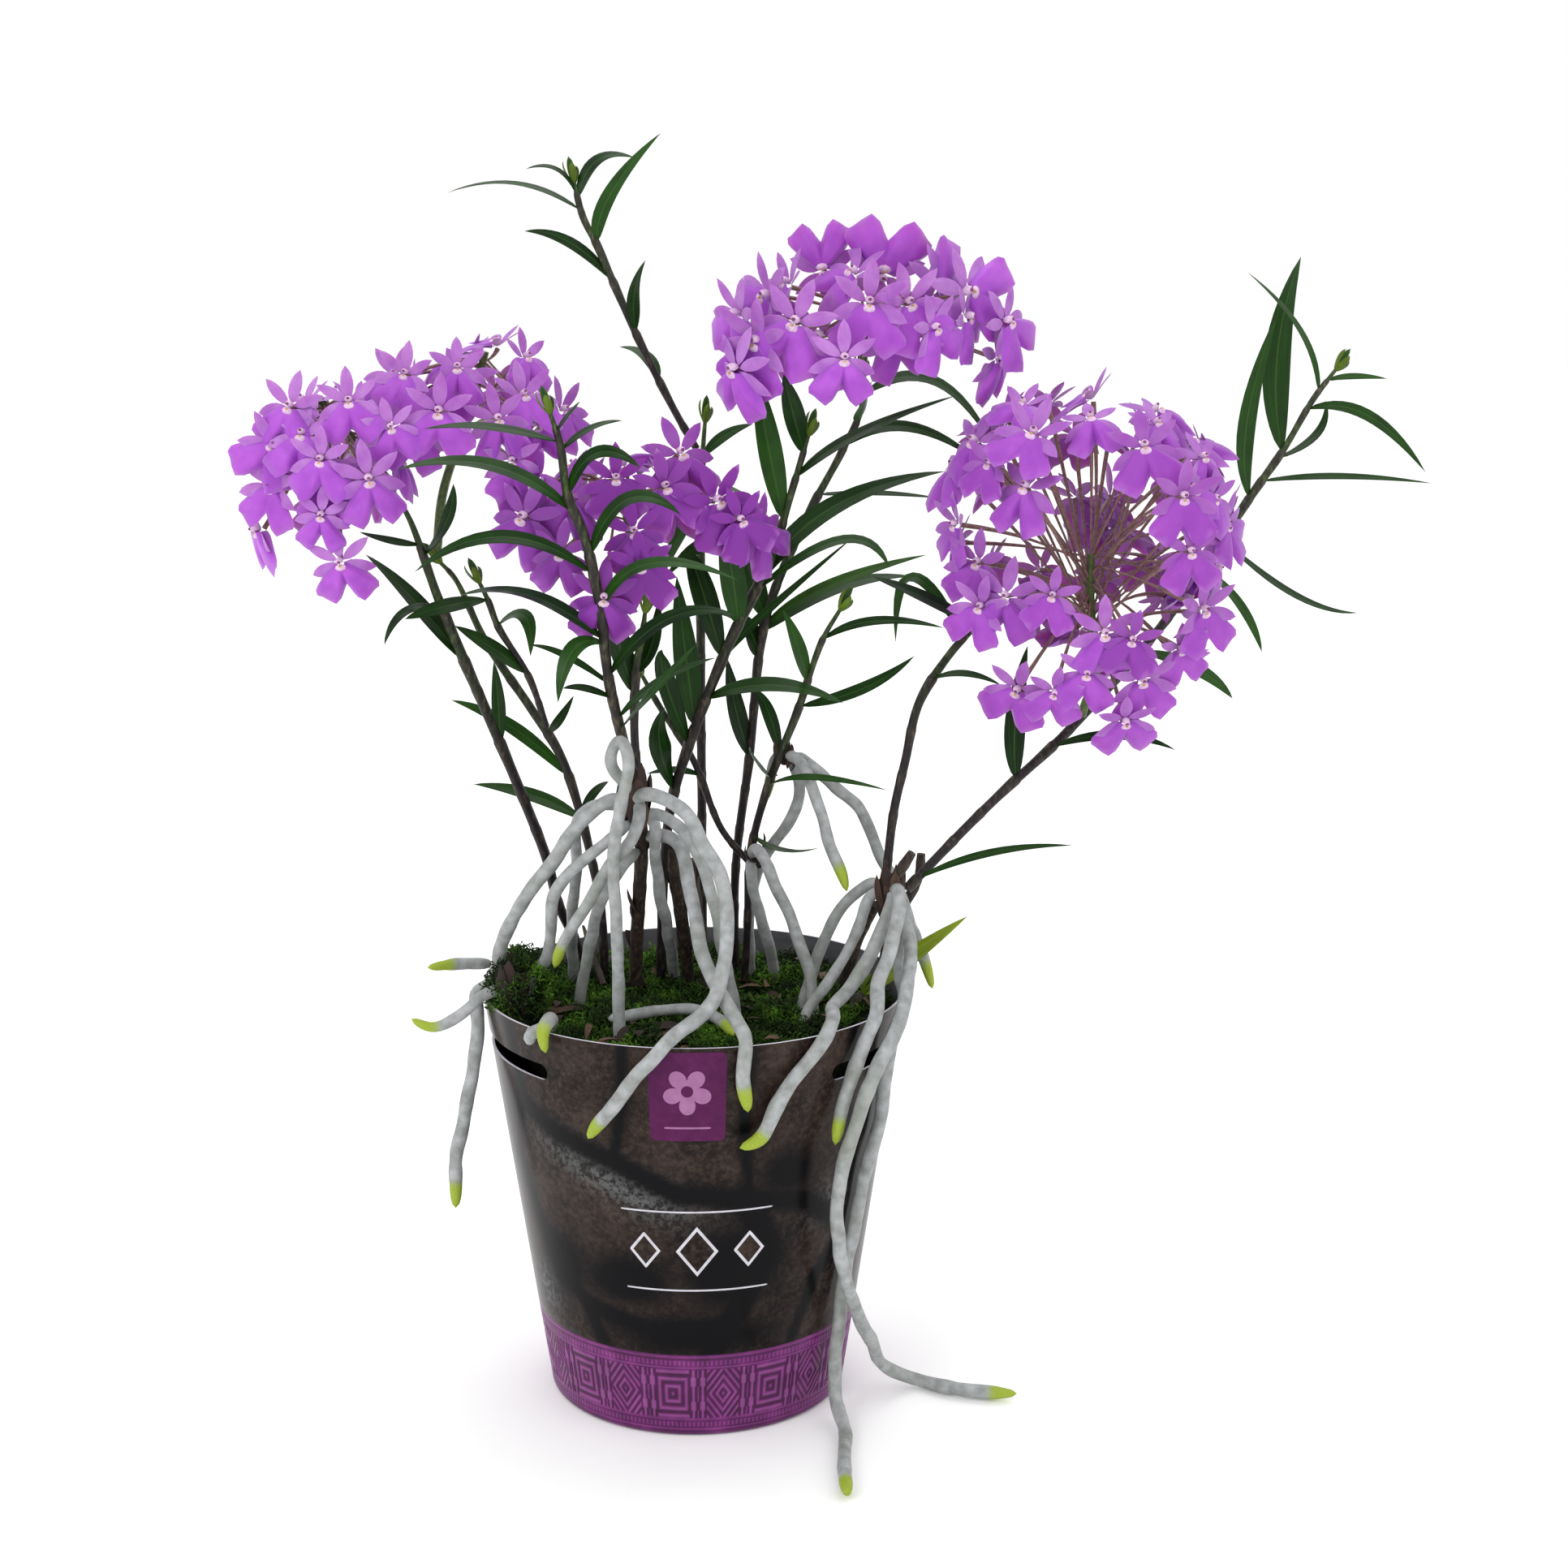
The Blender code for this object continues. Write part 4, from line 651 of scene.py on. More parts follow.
def dry_litter():
    """Dead leaf and bark scraps: brown, papery, dull."""
    made, tree, here = material("dry_leaf_litter")
    drawn = add(tree, "Mapping", {"Vector": here, "Scale": (1, 1, 0.25)})
    fibre = add(tree, "TexNoise", {"Vector": drawn, "Scale": 1 / (1.5 * MM), "Detail": 3})
    tone = add(tree, "Attribute", attribute_name="tone")
    brown = add(tree, "ValToRGB", {0: tone}, [(0.0, "#160D09"), (0.5, "#33201A"), (1.0, "#6A4F38")])
    dark = add(tree, "ValToRGB", {0: fibre}, [(0.4, 0.0), (0.6, 0.5)])
    brown = add(tree, "Mix", {0: dark, 6: brown, 7: "#1A100B"}, data_type="RGBA")
    surface(tree, {"Base Color": brown, "Roughness": 0.8})
    return made


def cane_skin():
    """A reed cane's rind: purple-brown and flecked when old, paler sheaths, green near its tip."""
    made, tree, here = material("reed_cane_rind")
    drawn = add(tree, "Mapping", {"Vector": here, "Scale": (1, 1, 0.35)})
    fleck = add(tree, "TexNoise", {"Vector": drawn, "Scale": 1 / (1.3 * MM), "Detail": 4})
    old = add(tree, "ValToRGB", {0: fleck}, [(0.36, "#0F090B"), (0.56, "#1E1416"), (0.74, "#463737")])
    young = add(tree, "ValToRGB", {0: fleck}, [(0.36, "#1B2A0E"), (0.55, "#33481A"), (0.7, "#536832")])
    sheath = add(tree, "ValToRGB", {0: fleck}, [(0.36, "#1A1612"), (0.55, "#322C22"), (0.74, "#5E5643")])
    age = add(tree, "Attribute", attribute_name="age")
    greening = add(tree, "ValToRGB", {0: age}, [(0.5, 0.0), (0.95, 1.0)])
    rind = add(tree, "Mix", {0: greening, 6: old, 7: young}, data_type="RGBA")
    clasped = add(tree, "Attribute", attribute_name="sheath")
    rind = add(tree, "Mix", {0: clasped, 6: rind, 7: sheath}, data_type="RGBA")
    grain = add(tree, "Bump", {"Height": fleck, "Distance": 0.2 * MM, "Strength": 0.5})
    surface(tree, {"Base Color": rind, "Roughness": 0.5, "Specular IOR Level": 0.35, "Normal": grain})
    return made


def leaf_skin():
    """A leaf's cuticle: waxy dark green, a paler sunk midrib, fine veins along it, a paler back."""
    made, tree, here = material("waxy_leaf")
    wrap = add(tree, "UVMap", uv_map="wrap").outputs["UV"]
    across = add(tree, "SeparateXYZ", {0: wrap}).outputs["Y"]
    off_rib = add(tree, "Math", {0: across, 1: 0.5}, operation="SUBTRACT")
    rib = add(tree, "Math", {0: off_rib}, operation="ABSOLUTE")
    drawn = add(tree, "Mapping", {"Vector": wrap, "Scale": (0.2, 1, 1)})
    veins = add(tree, "TexNoise", {"Vector": drawn, "Scale": 11.0})
    patchy = add(tree, "TexNoise", {"Vector": here, "Scale": 1 / (9 * MM), "Detail": 3})
    tone = add(tree, "Attribute", attribute_name="tone")
    green = add(tree, "ValToRGB", {0: tone},
                [(0.0, "#091807"), (0.4, "#14300D"), (0.75, "#264D14"), (1.0, "#8A9C2C")])
    fine = add(tree, "ValToRGB", {0: veins}, [(0.42, 0.0), (0.62, 0.3)])
    green = add(tree, "Mix", {0: fine, 6: green, 7: "#2B561A"}, data_type="RGBA")
    shaded = add(tree, "ValToRGB", {0: patchy}, [(0.42, 0.0), (0.68, 0.35)])
    green = add(tree, "Mix", {0: shaded, 6: green, 7: "#081709"}, data_type="RGBA")
    midrib = add(tree, "ValToRGB", {0: rib}, [(0.0, 0.45), (0.05, 0.0)])
    green = add(tree, "Mix", {0: midrib, 6: green, 7: "#486C2F"}, data_type="RGBA")
    streaks = add(tree, "ValToRGB", {0: veins}, [(0.4, 0.0), (0.65, 0.4)])
    back = add(tree, "Mix", {0: streaks, 6: "#294A20", 7: "#426634"}, data_type="RGBA")
    under = add(tree, "Attribute", attribute_name="under")
    green = add(tree, "Mix", {0: under, 6: green, 7: back}, data_type="RGBA")
    ribbed = add(tree, "Bump", {"Height": veins, "Distance": 0.1 * MM, "Strength": 0.35})
    surface(tree, {"Base Color": green, "Roughness": 0.36, "Specular IOR Level": 0.16, "Normal": ribbed})
    return made


def root_skin():
    """Velamen, a root's spongy dead coat: silver white when dry, greener in patches, and a bare
    yellow-green growing tip."""
    made, tree, here = material("root_velamen")
    mottle = add(tree, "TexNoise", {"Vector": here, "Scale": 1 / (4 * MM), "Detail": 4})
    fine = add(tree, "TexNoise", {"Vector": here, "Scale": 1 / (0.8 * MM), "Detail": 3})
    broad = add(tree, "TexNoise", {"Vector": here, "Scale": 1 / (26 * MM)})
    silver = add(tree, "ValToRGB", {0: mottle}, [(0.30, "#848785"), (0.5, "#9B9E9E"), (0.70, "#AFB1B3")])
    specks = add(tree, "ValToRGB", {0: fine}, [(0.64, 0.0), (0.78, 0.5)])
    silver = add(tree, "Mix", {0: specks, 6: silver, 7: "#6A6E60"}, data_type="RGBA")
    damp = add(tree, "ValToRGB", {0: broad}, [(0.48, 0.0), (0.72, 0.5)])
    silver = add(tree, "Mix", {0: damp, 6: silver, 7: "#7C8272"}, data_type="RGBA")
    lime = add(tree, "ValToRGB", {0: fine}, [(0.4, "#8FA32C"), (0.7, "#9CAD3B")])
    tip = add(tree, "Attribute", attribute_name="tip")
    skin = add(tree, "Mix", {0: tip, 6: silver, 7: lime}, data_type="RGBA")
    dents = add(tree, "Bump", {"Height": mottle, "Distance": 0.3 * MM, "Strength": 0.4})
    surface(tree, {"Base Color": skin, "Roughness": 0.62, "Specular IOR Level": 0.35, "Normal": dents})
    return made


def dry_cane():
    """A dead cane in its papery sheaths: brown fibres along it, dull."""
    made, tree, here = material("dry_cane_sheath")
    drawn = add(tree, "Mapping", {"Vector": here, "Scale": (1, 1, 0.12)})
    fibre = add(tree, "TexNoise", {"Vector": drawn, "Scale": 1 / (1.1 * MM), "Detail": 4})
    brown = add(tree, "ValToRGB", {0: fibre}, [(0.34, "#120C0A"), (0.52, "#2A1E18"), (0.72, "#5A4939")])
    sheath = add(tree, "Attribute", attribute_name="sheath")
    brown = add(tree, "Mix", {0: sheath, 6: brown, 7: "#3C3027"}, data_type="RGBA")
    frayed = add(tree, "Bump", {"Height": fibre, "Distance": 0.4 * MM, "Strength": 0.7})
    surface(tree, {"Base Color": brown, "Roughness": 0.75, "Normal": frayed})
    return made


def petal_skin(name, deep, light, back):
    """Petal tissue: thin, silky, veined outwards, paler where it is thin and on its back."""
    made, tree, here = material(name)
    wrap = add(tree, "UVMap", uv_map="wrap").outputs["UV"]
    drawn = add(tree, "Mapping", {"Vector": wrap, "Scale": (0.25, 1, 1)})
    veins = add(tree, "TexNoise", {"Vector": drawn, "Scale": 7.0})
    patchy = add(tree, "TexNoise", {"Vector": here, "Scale": 1 / (8 * MM)})
    veined = add(tree, "ValToRGB", {0: veins}, [(0.45, 0.0), (0.65, 0.4)])
    face = add(tree, "ValToRGB", {0: patchy}, [(0.35, deep), (0.65, light)])
    face = add(tree, "Mix", {0: veined, 6: face, 7: deep}, data_type="RGBA")
    tone = add(tree, "Attribute", attribute_name="tone")
    face = add(tree, "Mix", {0: tone, 6: face, 7: light}, data_type="RGBA")
    # Painted shade: the per-flower deep attribute, from its head's shade, darkens the face to a deep violet.
    painted_head_shade = add(tree, "Attribute", attribute_name="deep")
    face = add(tree, "Mix", {0: painted_head_shade, 6: face, 7: "#7A2496"}, data_type="RGBA")
    under = add(tree, "Attribute", attribute_name="under")
    face = add(tree, "Mix", {0: under, 6: face, 7: back}, data_type="RGBA")
    surface(tree, {"Base Color": face, "Roughness": 0.5, "IOR": 1.4, "Sheen Weight": 0.15,
                   "Subsurface Weight": 0.12, "Subsurface Scale": 2 * MM})
    return made


PRINT = printed_polypropylene()
# The white core of the printed sheet, which shows where it was die cut: matt.
CUT_EDGE = mottled("white_cut_edge", 1.2, [(0.3, "#CFCAD6"), (0.7, "#E2DEE8")], Roughness=0.5)
# The sheet's unprinted inner face: a mid grey, slightly scuffed satin.
GREY_INSIDE = mottled("grey_polypropylene", 9, [(0.3, "#4C4C50"), (0.7, "#5C5C60")], detail=5, drawn=3,
                      satin=[(0.3, 0.38), (0.7, 0.55)])
# Recycled black polypropylene, injection moulded: charcoal with pale upright flow marks, satin.
NURSERY_PLASTIC = mottled("recycled_black_polypropylene", 14, [(0.3, "#141414"), (0.7, "#2A2A2B")],
                          detail=5, drawn=0.3, satin=[(0.3, 0.4), (0.7, 0.6)], IOR=1.49)
BAND = printed_band()
PANEL_INK = plain_ink("magenta_ink", "#4C1844", "#571F4E")
PALE_INK = plain_ink("pale_pink_ink", "#96648F", "#A27099")
WHITE_INK = plain_ink("white_ink", "#BEBBC2", "#D2D0D8")
MOSS = moss_green()
# The dark felt of dead moss under the green shoots: matted and dull.
FELT = mottled("dead_moss_felt", 5, [(0.35, "#070804"), (0.5, "#10140A"), (0.68, "#1E1A0C")], detail=5,
               relief=1.5, Roughness=0.95, Specular_IOR_Level=0.2)
LITTER = dry_litter()
CANE = cane_skin()
LEAF = leaf_skin()
ROOT = root_skin()
DRY_CANE = dry_cane()
TEPAL = petal_skin("sepal_and_petal_tissue", "#A05AB8", "#B67CCA", "#AA74BE")
LIP = petal_skin("lip_tissue", "#9C42BE", "#B055CE", "#A25ABA")
CALLUS = small_flesh("callus_white", "#CDA6CC", "#E2C6DE")
ANTHER = small_flesh("anther_cap_purple", "#6A2A5E", "#8A4478")
NECTAR = small_flesh("callus_yellow", "#B8863A", "#CFA85C")
PEDICEL = small_flesh("pedicel_skin", "#74504C", "#8E6E66")
STALK = small_flesh("flower_stalk_green", "#3A4E1E", "#56682E")
FLOWER_SKINS = [TEPAL, LIP, CALLUS, ANTHER, NECTAR, PEDICEL, STALK]
TEPAL_SLOT, LIP_SLOT, CALLUS_SLOT, ANTHER_SLOT, NECTAR_SLOT, PEDICEL_SLOT, STALK_SLOT = range(7)


# --- routes

def smooth_route(points, step):
    """Points about `step` apart on a centripetal Catmull-Rom curve through the route's own points."""
    points = np.array(points, float)
    ends = np.vstack([2 * points[0] - points[1], points, 2 * points[-1] - points[-2]])
    out = [points[:1]]
    for p0, p1, p2, p3 in zip(ends, ends[1:], ends[2:], ends[3:]):
        t1 = np.linalg.norm(p1 - p0) ** 0.5
        t2 = t1 + np.linalg.norm(p2 - p1) ** 0.5
        t3 = t2 + np.linalg.norm(p3 - p2) ** 0.5
        count = max(1, round(float(np.linalg.norm(p2 - p1)) / step))
        t = np.linspace(t1, t2, count + 1)[1:, None]
        a1 = p0 * (t1 - t) / t1 + p1 * t / t1
        a2 = p1 * (t2 - t) / (t2 - t1) + p2 * (t - t1) / (t2 - t1)
        a3 = p2 * (t3 - t) / (t3 - t2) + p3 * (t - t2) / (t3 - t2)
        b1 = a1 * (t2 - t) / t2 + a2 * t / t2
        b2 = a2 * (t3 - t) / (t3 - t1) + a3 * (t - t1) / (t3 - t1)
        out.append(b1 * (t2 - t) / (t2 - t1) + b2 * (t - t1) / (t2 - t1))
    return np.concatenate(out)


def raised(points):
    """Plant points, (x, y, height above the moss), in the frame."""
    return [(x, y, MOSS_LEVEL + h) for x, y, h in points]


def bow(base, middle, tip, count):
    """A Bezier bow from base to tip that passes through middle half way."""
    base, middle, tip = (np.asarray(p, float) for p in (base, middle, tip))
    t = np.linspace(0, 1, count)[:, None]
    pull = 2 * middle - (base + tip) / 2
    return base * (1 - t) ** 2 + pull * 2 * t * (1 - t) + tip * t ** 2


def outer_radius(z):
    """The cover pot's outer radius at a height: a straight line from its base to its rim."""
    return BASE_RADIUS + (RIM_RADIUS - BASE_RADIUS) * z / POT_HEIGHT


def wander(count, size, step):
    """Smooth noise along a path: random numbers `step` stations apart, joined by the cubic
    t * t * (3 - 2 * t)."""
    knots = max(4, int(count / step) + 3)
    rough = RANDOM.normal(0, 1, knots)
    at = np.linspace(0, knots - 1.001, count)
    low = at.astype(int)
    share = at - low
    share = share * share * (3 - 2 * share)
    return size * (rough[low] * (1 - share) + rough[np.minimum(low + 1, knots - 1)] * share)


# --- the cover pot

POT_COLUMNS = 300
WALL_ROWS = 84
TOP_ROWS = 9
BAND_COLUMNS = 760
BAND_ROWS = 62
DECAL_RINGS = 14


def slot_columns():
    """Azimuths of the pot's columns: even, with more where a slot's rounded end needs them."""
    even = np.linspace(-np.pi, np.pi, POT_COLUMNS, endpoint=False)
    reach = SLOT_LENGTH / 2 - SLOT_RADIUS + SLOT_RADIUS * np.sin(np.linspace(0, np.pi / 2, 6))
    level_radius = outer_radius(SLOT_LEVEL)
    more = [math.radians(middle) + way * reach / level_radius for middle in SLOT_AZIMUTHS
            for way in (-1, 1)]
    more = np.concatenate(more)
    clear = np.abs(even[:, None] - more[None, :]).min(axis=1) > 0.006
    return np.sort(np.concatenate([even[clear], more]))


def slot_reach(azimuth):
    """How far each azimuth is from the middle of the nearer slot, in mm along the wall."""
    off = np.abs(azimuth[..., None] - np.radians(SLOT_AZIMUTHS)).min(axis=-1)
    return off * outer_radius(SLOT_LEVEL)


def line_shade(u, z, route, width):
    """A soft dark band along a route of straight steps: exp(-(distance / width) squared)."""
    best = np.full(u.shape, 1e9)
    for (u0, z0), (u1, z1) in zip(route, route[1:]):
        du, dz = u1 - u0, z1 - z0
        t = np.clip(((u - u0) * du + (z - z0) * dz) / (du * du + dz * dz), 0, 1)
        best = np.minimum(best, np.hypot(u - u0 - t * du, z - z0 - t * dz))
    return np.exp(-(best / width) ** 2)


def cloud(u, z, centre, radii, tilt=0.0):
    """A soft patch: exp of minus the squared distance from its centre, in its own radii and tilt."""
    du, dz = u - centre[0], z - centre[1]
    c, s = math.cos(math.radians(tilt)), math.sin(math.radians(tilt))
    return np.exp(-((du * c + dz * s) / radii[0]) ** 2 - ((dz * c - du * s) / radii[1]) ** 2)


# The stone wall's joints, as (azimuth times rim radius, height) in mm from the front, and half widths.
JOINTS = [
    ([(-25, 149), (-26, 128), (-31, 106)], 2.6), ([(18, 149), (17, 120), (20, 94)], 2.6),
    ([(-75, 120), (-60, 113), (-30, 105), (-8, 95), (19, 92), (44, 88), (70, 72)], 5.0),
    ([(60, 149), (62, 120), (70, 100), (74, 70)], 3.0), ([(-78, 149), (-74, 124), (-86, 96)], 3.4),
    ([(19, 92), (30, 70), (16, 48), (6, 33)], 8.0), ([(-86, 96), (-74, 66), (-52, 48), (-44, 33)], 5.0),
    ([(70, 72), (54, 56), (44, 33)], 3.6), ([(-52, 48), (-20, 42), (10, 44)], 5.0),
    ([(74, 70), (104, 78), (132, 70), (160, 84)], 4.4), ([(110, 149), (104, 118), (104, 78)], 3.0),
    ([(104, 118), (140, 122), (172, 112), (200, 118)], 4.0), ([(160, 84), (156, 58), (150, 33)], 4.0),
    ([(160, 84), (196, 78), (236, 88)], 4.4), ([(200, 118), (204, 149)], 3.0),
    ([(200, 118), (236, 110)], 3.6), ([(-86, 96), (-120, 90), (-150, 98), (-190, 84), (-236, 88)], 4.6),
    ([(-120, 90), (-128, 120), (-122, 149)], 3.2), ([(-150, 98), (-166, 124), (-236, 110)], 4.0),
    ([(-190, 84), (-182, 56), (-188, 33)], 4.2), ([(-120, 90), (-128, 60), (-116, 33)], 4.6),
    ([(104, 78), (96, 54), (104, 33)], 4.0),
]
# Dark and weathered patches of the stone: a centre and radii in the same mm, and a tilt in degrees.
SHADES = [((14, 66), (26, 22), 20), ((36, 100), (14, 10), 0), ((-62, 60), (16, 16), 40),
          ((0, 40), (44, 9), 0), ((-30, 60), (26, 12), 0), ((120, 60), (24, 16), 0),
          ((-150, 62), (26, 16), 10), ((188, 100), (20, 9), 0), ((-100, 112), (12, 20), 0),
          ((78, 120), (10, 22), 0)]
WEATHER = [((-46, 104), (20, 7), -14), ((-18, 92), (22, 7), -18), ((-80, 46), (10, 9), 30),
           ((60, 86), (14, 6), 20), ((140, 96), (26, 8), 10), ((-200, 72), (24, 8), 0)]


def cover_pot():
    """One closed shell: a profile from the middle of the underside out, up the wall, over the rim,
    down inside and back to the axis. The two slots leave out one row of cells, and their outline is
    a straight pair of lines with half-round ends."""
    azimuth = slot_columns()
    low_row, high_row = SLOT_LEVEL - SLOT_RADIUS, SLOT_LEVEL + SLOT_RADIUS
    wall = np.concatenate([np.linspace(BASE_CORNER, low_row, WALL_ROWS),
                           np.linspace(high_row, POT_HEIGHT, TOP_ROWS)])
    foot = BASE_RADIUS - BASE_CORNER
    recess = np.where(wall < BAND_HEIGHT, BAND_DEPTH * 0.8, 0.0)
    under = [0, foot * 0.5, foot - 0.4, foot + 1.2]
    floor = [foot - 1, foot * 0.5, 0]
    radius = np.concatenate([under, outer_radius(wall) - recess,
                             outer_radius(wall[::-1]) - POT_WALL, floor])
    height = np.concatenate([[0.4, 0.4, 0.4, 0.7], wall, wall[::-1], [POT_WALL] * len(floor)])
    rows = len(radius)
    tall = height[:, None] * np.ones(len(azimuth))
    reach = slot_reach(azimuth)
    inside = reach <= SLOT_LENGTH / 2 + 1e-6
    past = np.clip(reach - (SLOT_LENGTH / 2 - SLOT_RADIUS), 0, SLOT_RADIUS)
    half = np.sqrt(np.maximum(SLOT_RADIUS ** 2 - past ** 2, 0))
    first = len(under) + WALL_ROWS - 1
    last = rows - len(floor) - WALL_ROWS
    outer_rows, inner_rows = (first, first + 1), (last, last - 1)
    for low, high in (outer_rows, inner_rows):
        tall[low, inside] = SLOT_LEVEL - half[inside]
        tall[high, inside] = SLOT_LEVEL + half[inside]
    wide = radius[:, None] * np.ones(len(azimuth))
    for low, high in (outer_rows, inner_rows):
        slope = (RIM_RADIUS - BASE_RADIUS) / POT_HEIGHT
        for row in (low, high):
            wide[row] += slope * (tall[row] - height[row])
    u = np.broadcast_to(azimuth * RIM_RADIUS, tall.shape)
    joint = np.zeros(tall.shape)
    for route, width in JOINTS:
        joint = np.maximum(joint, line_shade(u, tall, route, width))
    for centre, radii, tilt in SHADES:
        joint = np.maximum(joint, 0.94 * cloud(u, tall, centre, radii, tilt))
    joint = np.clip(joint * 1.35, 0, 1)
    weather = sum(cloud(u, tall, centre, radii, tilt) for centre, radii, tilt in WEATHER)
    shape = turned(wide, tall, azimuth, joint=joint, weather=np.clip(weather, 0, 1) * 0.8)
    columns = len(azimuth)
    cell_row = np.repeat(np.arange(rows - 1), columns)
    cell_column = np.tile(np.arange(columns), rows - 1)
    outside_top = len(under) - 1 + len(wall)
    shape["material"] = np.where(cell_row == outside_top, 1, np.where(cell_row > outside_top, 2, 0))
    open_column = inside & np.roll(inside, -1)
    gap = open_column[cell_column] & np.isin(cell_row, [outer_rows[0], inner_rows[1]])
    columns_open = np.flatnonzero(open_column)
    after = (columns_open + 1) % columns
    sills = []
    for outer, inner in (outer_rows[0], inner_rows[0]), (inner_rows[1], outer_rows[1]):
        sills.append(np.stack([outer * columns + columns_open, outer * columns + after,
                               inner * columns + after, inner * columns + columns_open], -1))
    sills = np.concatenate(sills)
    shape["quads"] = np.concatenate([shape["quads"][~gap], sills])
    shape["uv"] = np.concatenate([shape["uv"][~gap], np.zeros((len(sills), 4, 2))])
    shape["material"] = np.concatenate([shape["material"][~gap], np.full(len(sills), 1)])
    return shape


def band_relief(u, z):
    """The foot band's embossed pattern, from 0 in the grooves to 1 on the ridges: stepped squares and
    nested diamonds in turn between two beaded borders, all ridges of a cosine."""
    pitch = 2 * np.pi * RIM_RADIUS / BAND_FIGURES
    cell = np.floor(u / pitch)
    x = np.abs(u - (cell + 0.5) * pitch)
    y = np.abs(z - BAND_MIDDLE)
    diamond = x + y * 0.9
    square = np.maximum(x, y * 1.05)
    key = np.abs(np.mod(x + np.floor(y / 3.2) * 3.2, 6.4) - 3.2)
    figure = np.where(np.mod(cell, 2) == 0, diamond, square)
    ridge = 0.5 + 0.5 * np.cos(figure * 2 * np.pi / 3.1)
    stepped = 0.5 + 0.5 * np.cos(key * 2 * np.pi / 2.6)
    field = np.where(x > pitch * 0.33, stepped, ridge)
    field = np.clip(field * 1.5 - 0.2, 0, 1)
    out = np.where(y < 9.6, field, 0.25)
    bead = 0.5 + 0.5 * np.cos(u * 2 * np.pi / 2.1)
    for level, half in ((29.3, 1.0), (4.9, 1.0)):
        out = np.where(np.abs(z - level) < half, 0.35 + 0.65 * bead, out)
    for level in (31.6, 27.4, 6.8, 2.9):
        out = np.maximum(out, np.exp(-((z - level) / 0.55) ** 2))
    return out


def foot_band():
    """A closed sleeve round the foot: its outside stands back from the wall by the relief's grooves."""
    azimuth = np.linspace(-np.pi, np.pi, BAND_COLUMNS, endpoint=False)
    corner = np.array([0.0, 0.12, 0.45, 1.1])
    bend = BASE_CORNER * (1 - np.sqrt(1 - (1 - corner / BASE_CORNER) ** 2))
    corner_radius = outer_radius(BASE_CORNER) - bend
    wall = np.linspace(2.0, BAND_HEIGHT, BAND_ROWS)
    u = azimuth * RIM_RADIUS
    relief = band_relief(u[None, :], wall[:, None])
    fade = np.clip((wall - 2.0) / 1.0, 0, 1)[:, None]
    outside = outer_radius(wall)[:, None] - BAND_DEPTH * 0.7 * (1 - relief) * fade
    inner = np.array([BAND_HEIGHT, BASE_CORNER, 0.5])
    radius = np.concatenate([corner_radius[:, None] * np.ones(len(azimuth)), outside,
                             (outer_radius(inner) - POT_WALL * 0.8)[:, None] * np.ones(len(azimuth)),
                             np.full((1, len(azimuth)), BASE_RADIUS - BASE_CORNER - 1.0),
                             corner_radius[:1, None] * np.ones(len(azimuth))])
    height = np.concatenate([corner, wall, inner, [0.3, corner[0]]])
    raised_by = np.concatenate([np.full((len(corner), len(azimuth)), 0.5), relief,
                                np.zeros((len(inner) + 2, len(azimuth)))])
    return turned(radius, height, azimuth, relief=raised_by)


def evenly(outline, step):
    """A closed outline's points, about `step` apart along it."""
    outline = np.vstack([outline, outline[:1]])
    lengths = np.concatenate([[0], np.cumsum(np.linalg.norm(np.diff(outline, axis=0), axis=1))])
    count = max(12, round(lengths[-1] / step))
    at = np.linspace(0, lengths[-1], count, endpoint=False)
    return np.stack([np.interp(at, lengths, outline[:, axis]) for axis in range(2)], -1)


def decal(centre, outline, lift=0.08):
    """A printed figure on the cone: rings from its centre to its outline and back underneath. The
    outline is (offset round, offset up) in mm, anticlockwise, and the centre (azimuth in mm, height)."""
    outline = evenly(outline, 0.8)
    share = np.append(np.linspace(0, 1, DECAL_RINGS), [1.0, 0.0])
    depth = np.append(np.full(DECAL_RINGS, lift), [-0.3, -0.3])
    u = centre[0] + share[::-1, None] * outline[None, :, 0]
    z = centre[1] + share[::-1, None] * outline[None, :, 1]
    reach = outer_radius(z) + depth[::-1, None]
    angle = u / RIM_RADIUS
    points = np.stack([reach * np.sin(angle), -reach * np.cos(angle), z], -1)
    uv = np.zeros((len(share), len(outline) + 1, 2))
    return patch(points, uv, wrap=True)


def superellipse(wide, tall, power, count=48):
    """|x / wide| and |z / tall| to the power, added, make 1: a diamond at 1, an ellipse at 2, and
    nearly a rectangle from 8 up."""
    t = np.linspace(0, 2 * np.pi, count, endpoint=False)
    c, s = np.cos(t), np.sin(t)
    return np.stack([wide * np.sign(c) * np.abs(c) ** (2 / power),
                     tall * np.sign(s) * np.abs(s) ** (2 / power)], -1)


def rosette(radius, petals=5, count=90):
    """A plain flower outline: the radius swells and shrinks with each petal."""
    t = np.linspace(0, 2 * np.pi, count, endpoint=False)
    reach = radius * (0.45 + 0.55 * np.abs(np.sin(petals * t / 2)) ** 0.7)
    return np.stack([reach * np.sin(t), reach * np.cos(t)], -1)[::-1]


piece("cover_pot_wall", cover_pot(), [PRINT, CUT_EDGE, GREY_INSIDE], ["cover_pot"], 30)
piece("cover_pot_band", foot_band(), [BAND], smooth_angle=60)
PANEL = (-3.0, POT_HEIGHT - 17.6)
piece("print_panel", decal(PANEL, superellipse(13.4, 16.2, 18, 96)), [PANEL_INK])
piece("print_rosette", joined([decal((PANEL[0], PANEL[1] + 2), rosette(8.6), 0.1),
                               decal((PANEL[0], PANEL[1] - 11.4), superellipse(8.4, 0.35, 8), 0.1)]),
      [PALE_INK])
piece("print_rosette_eye", decal((PANEL[0], PANEL[1] + 2), superellipse(2.1, 2.1, 2), 0.14), [PANEL_INK])
rules = [decal((0, level), superellipse(30, 0.32, 8)) for level in (88.0, 58.0)]
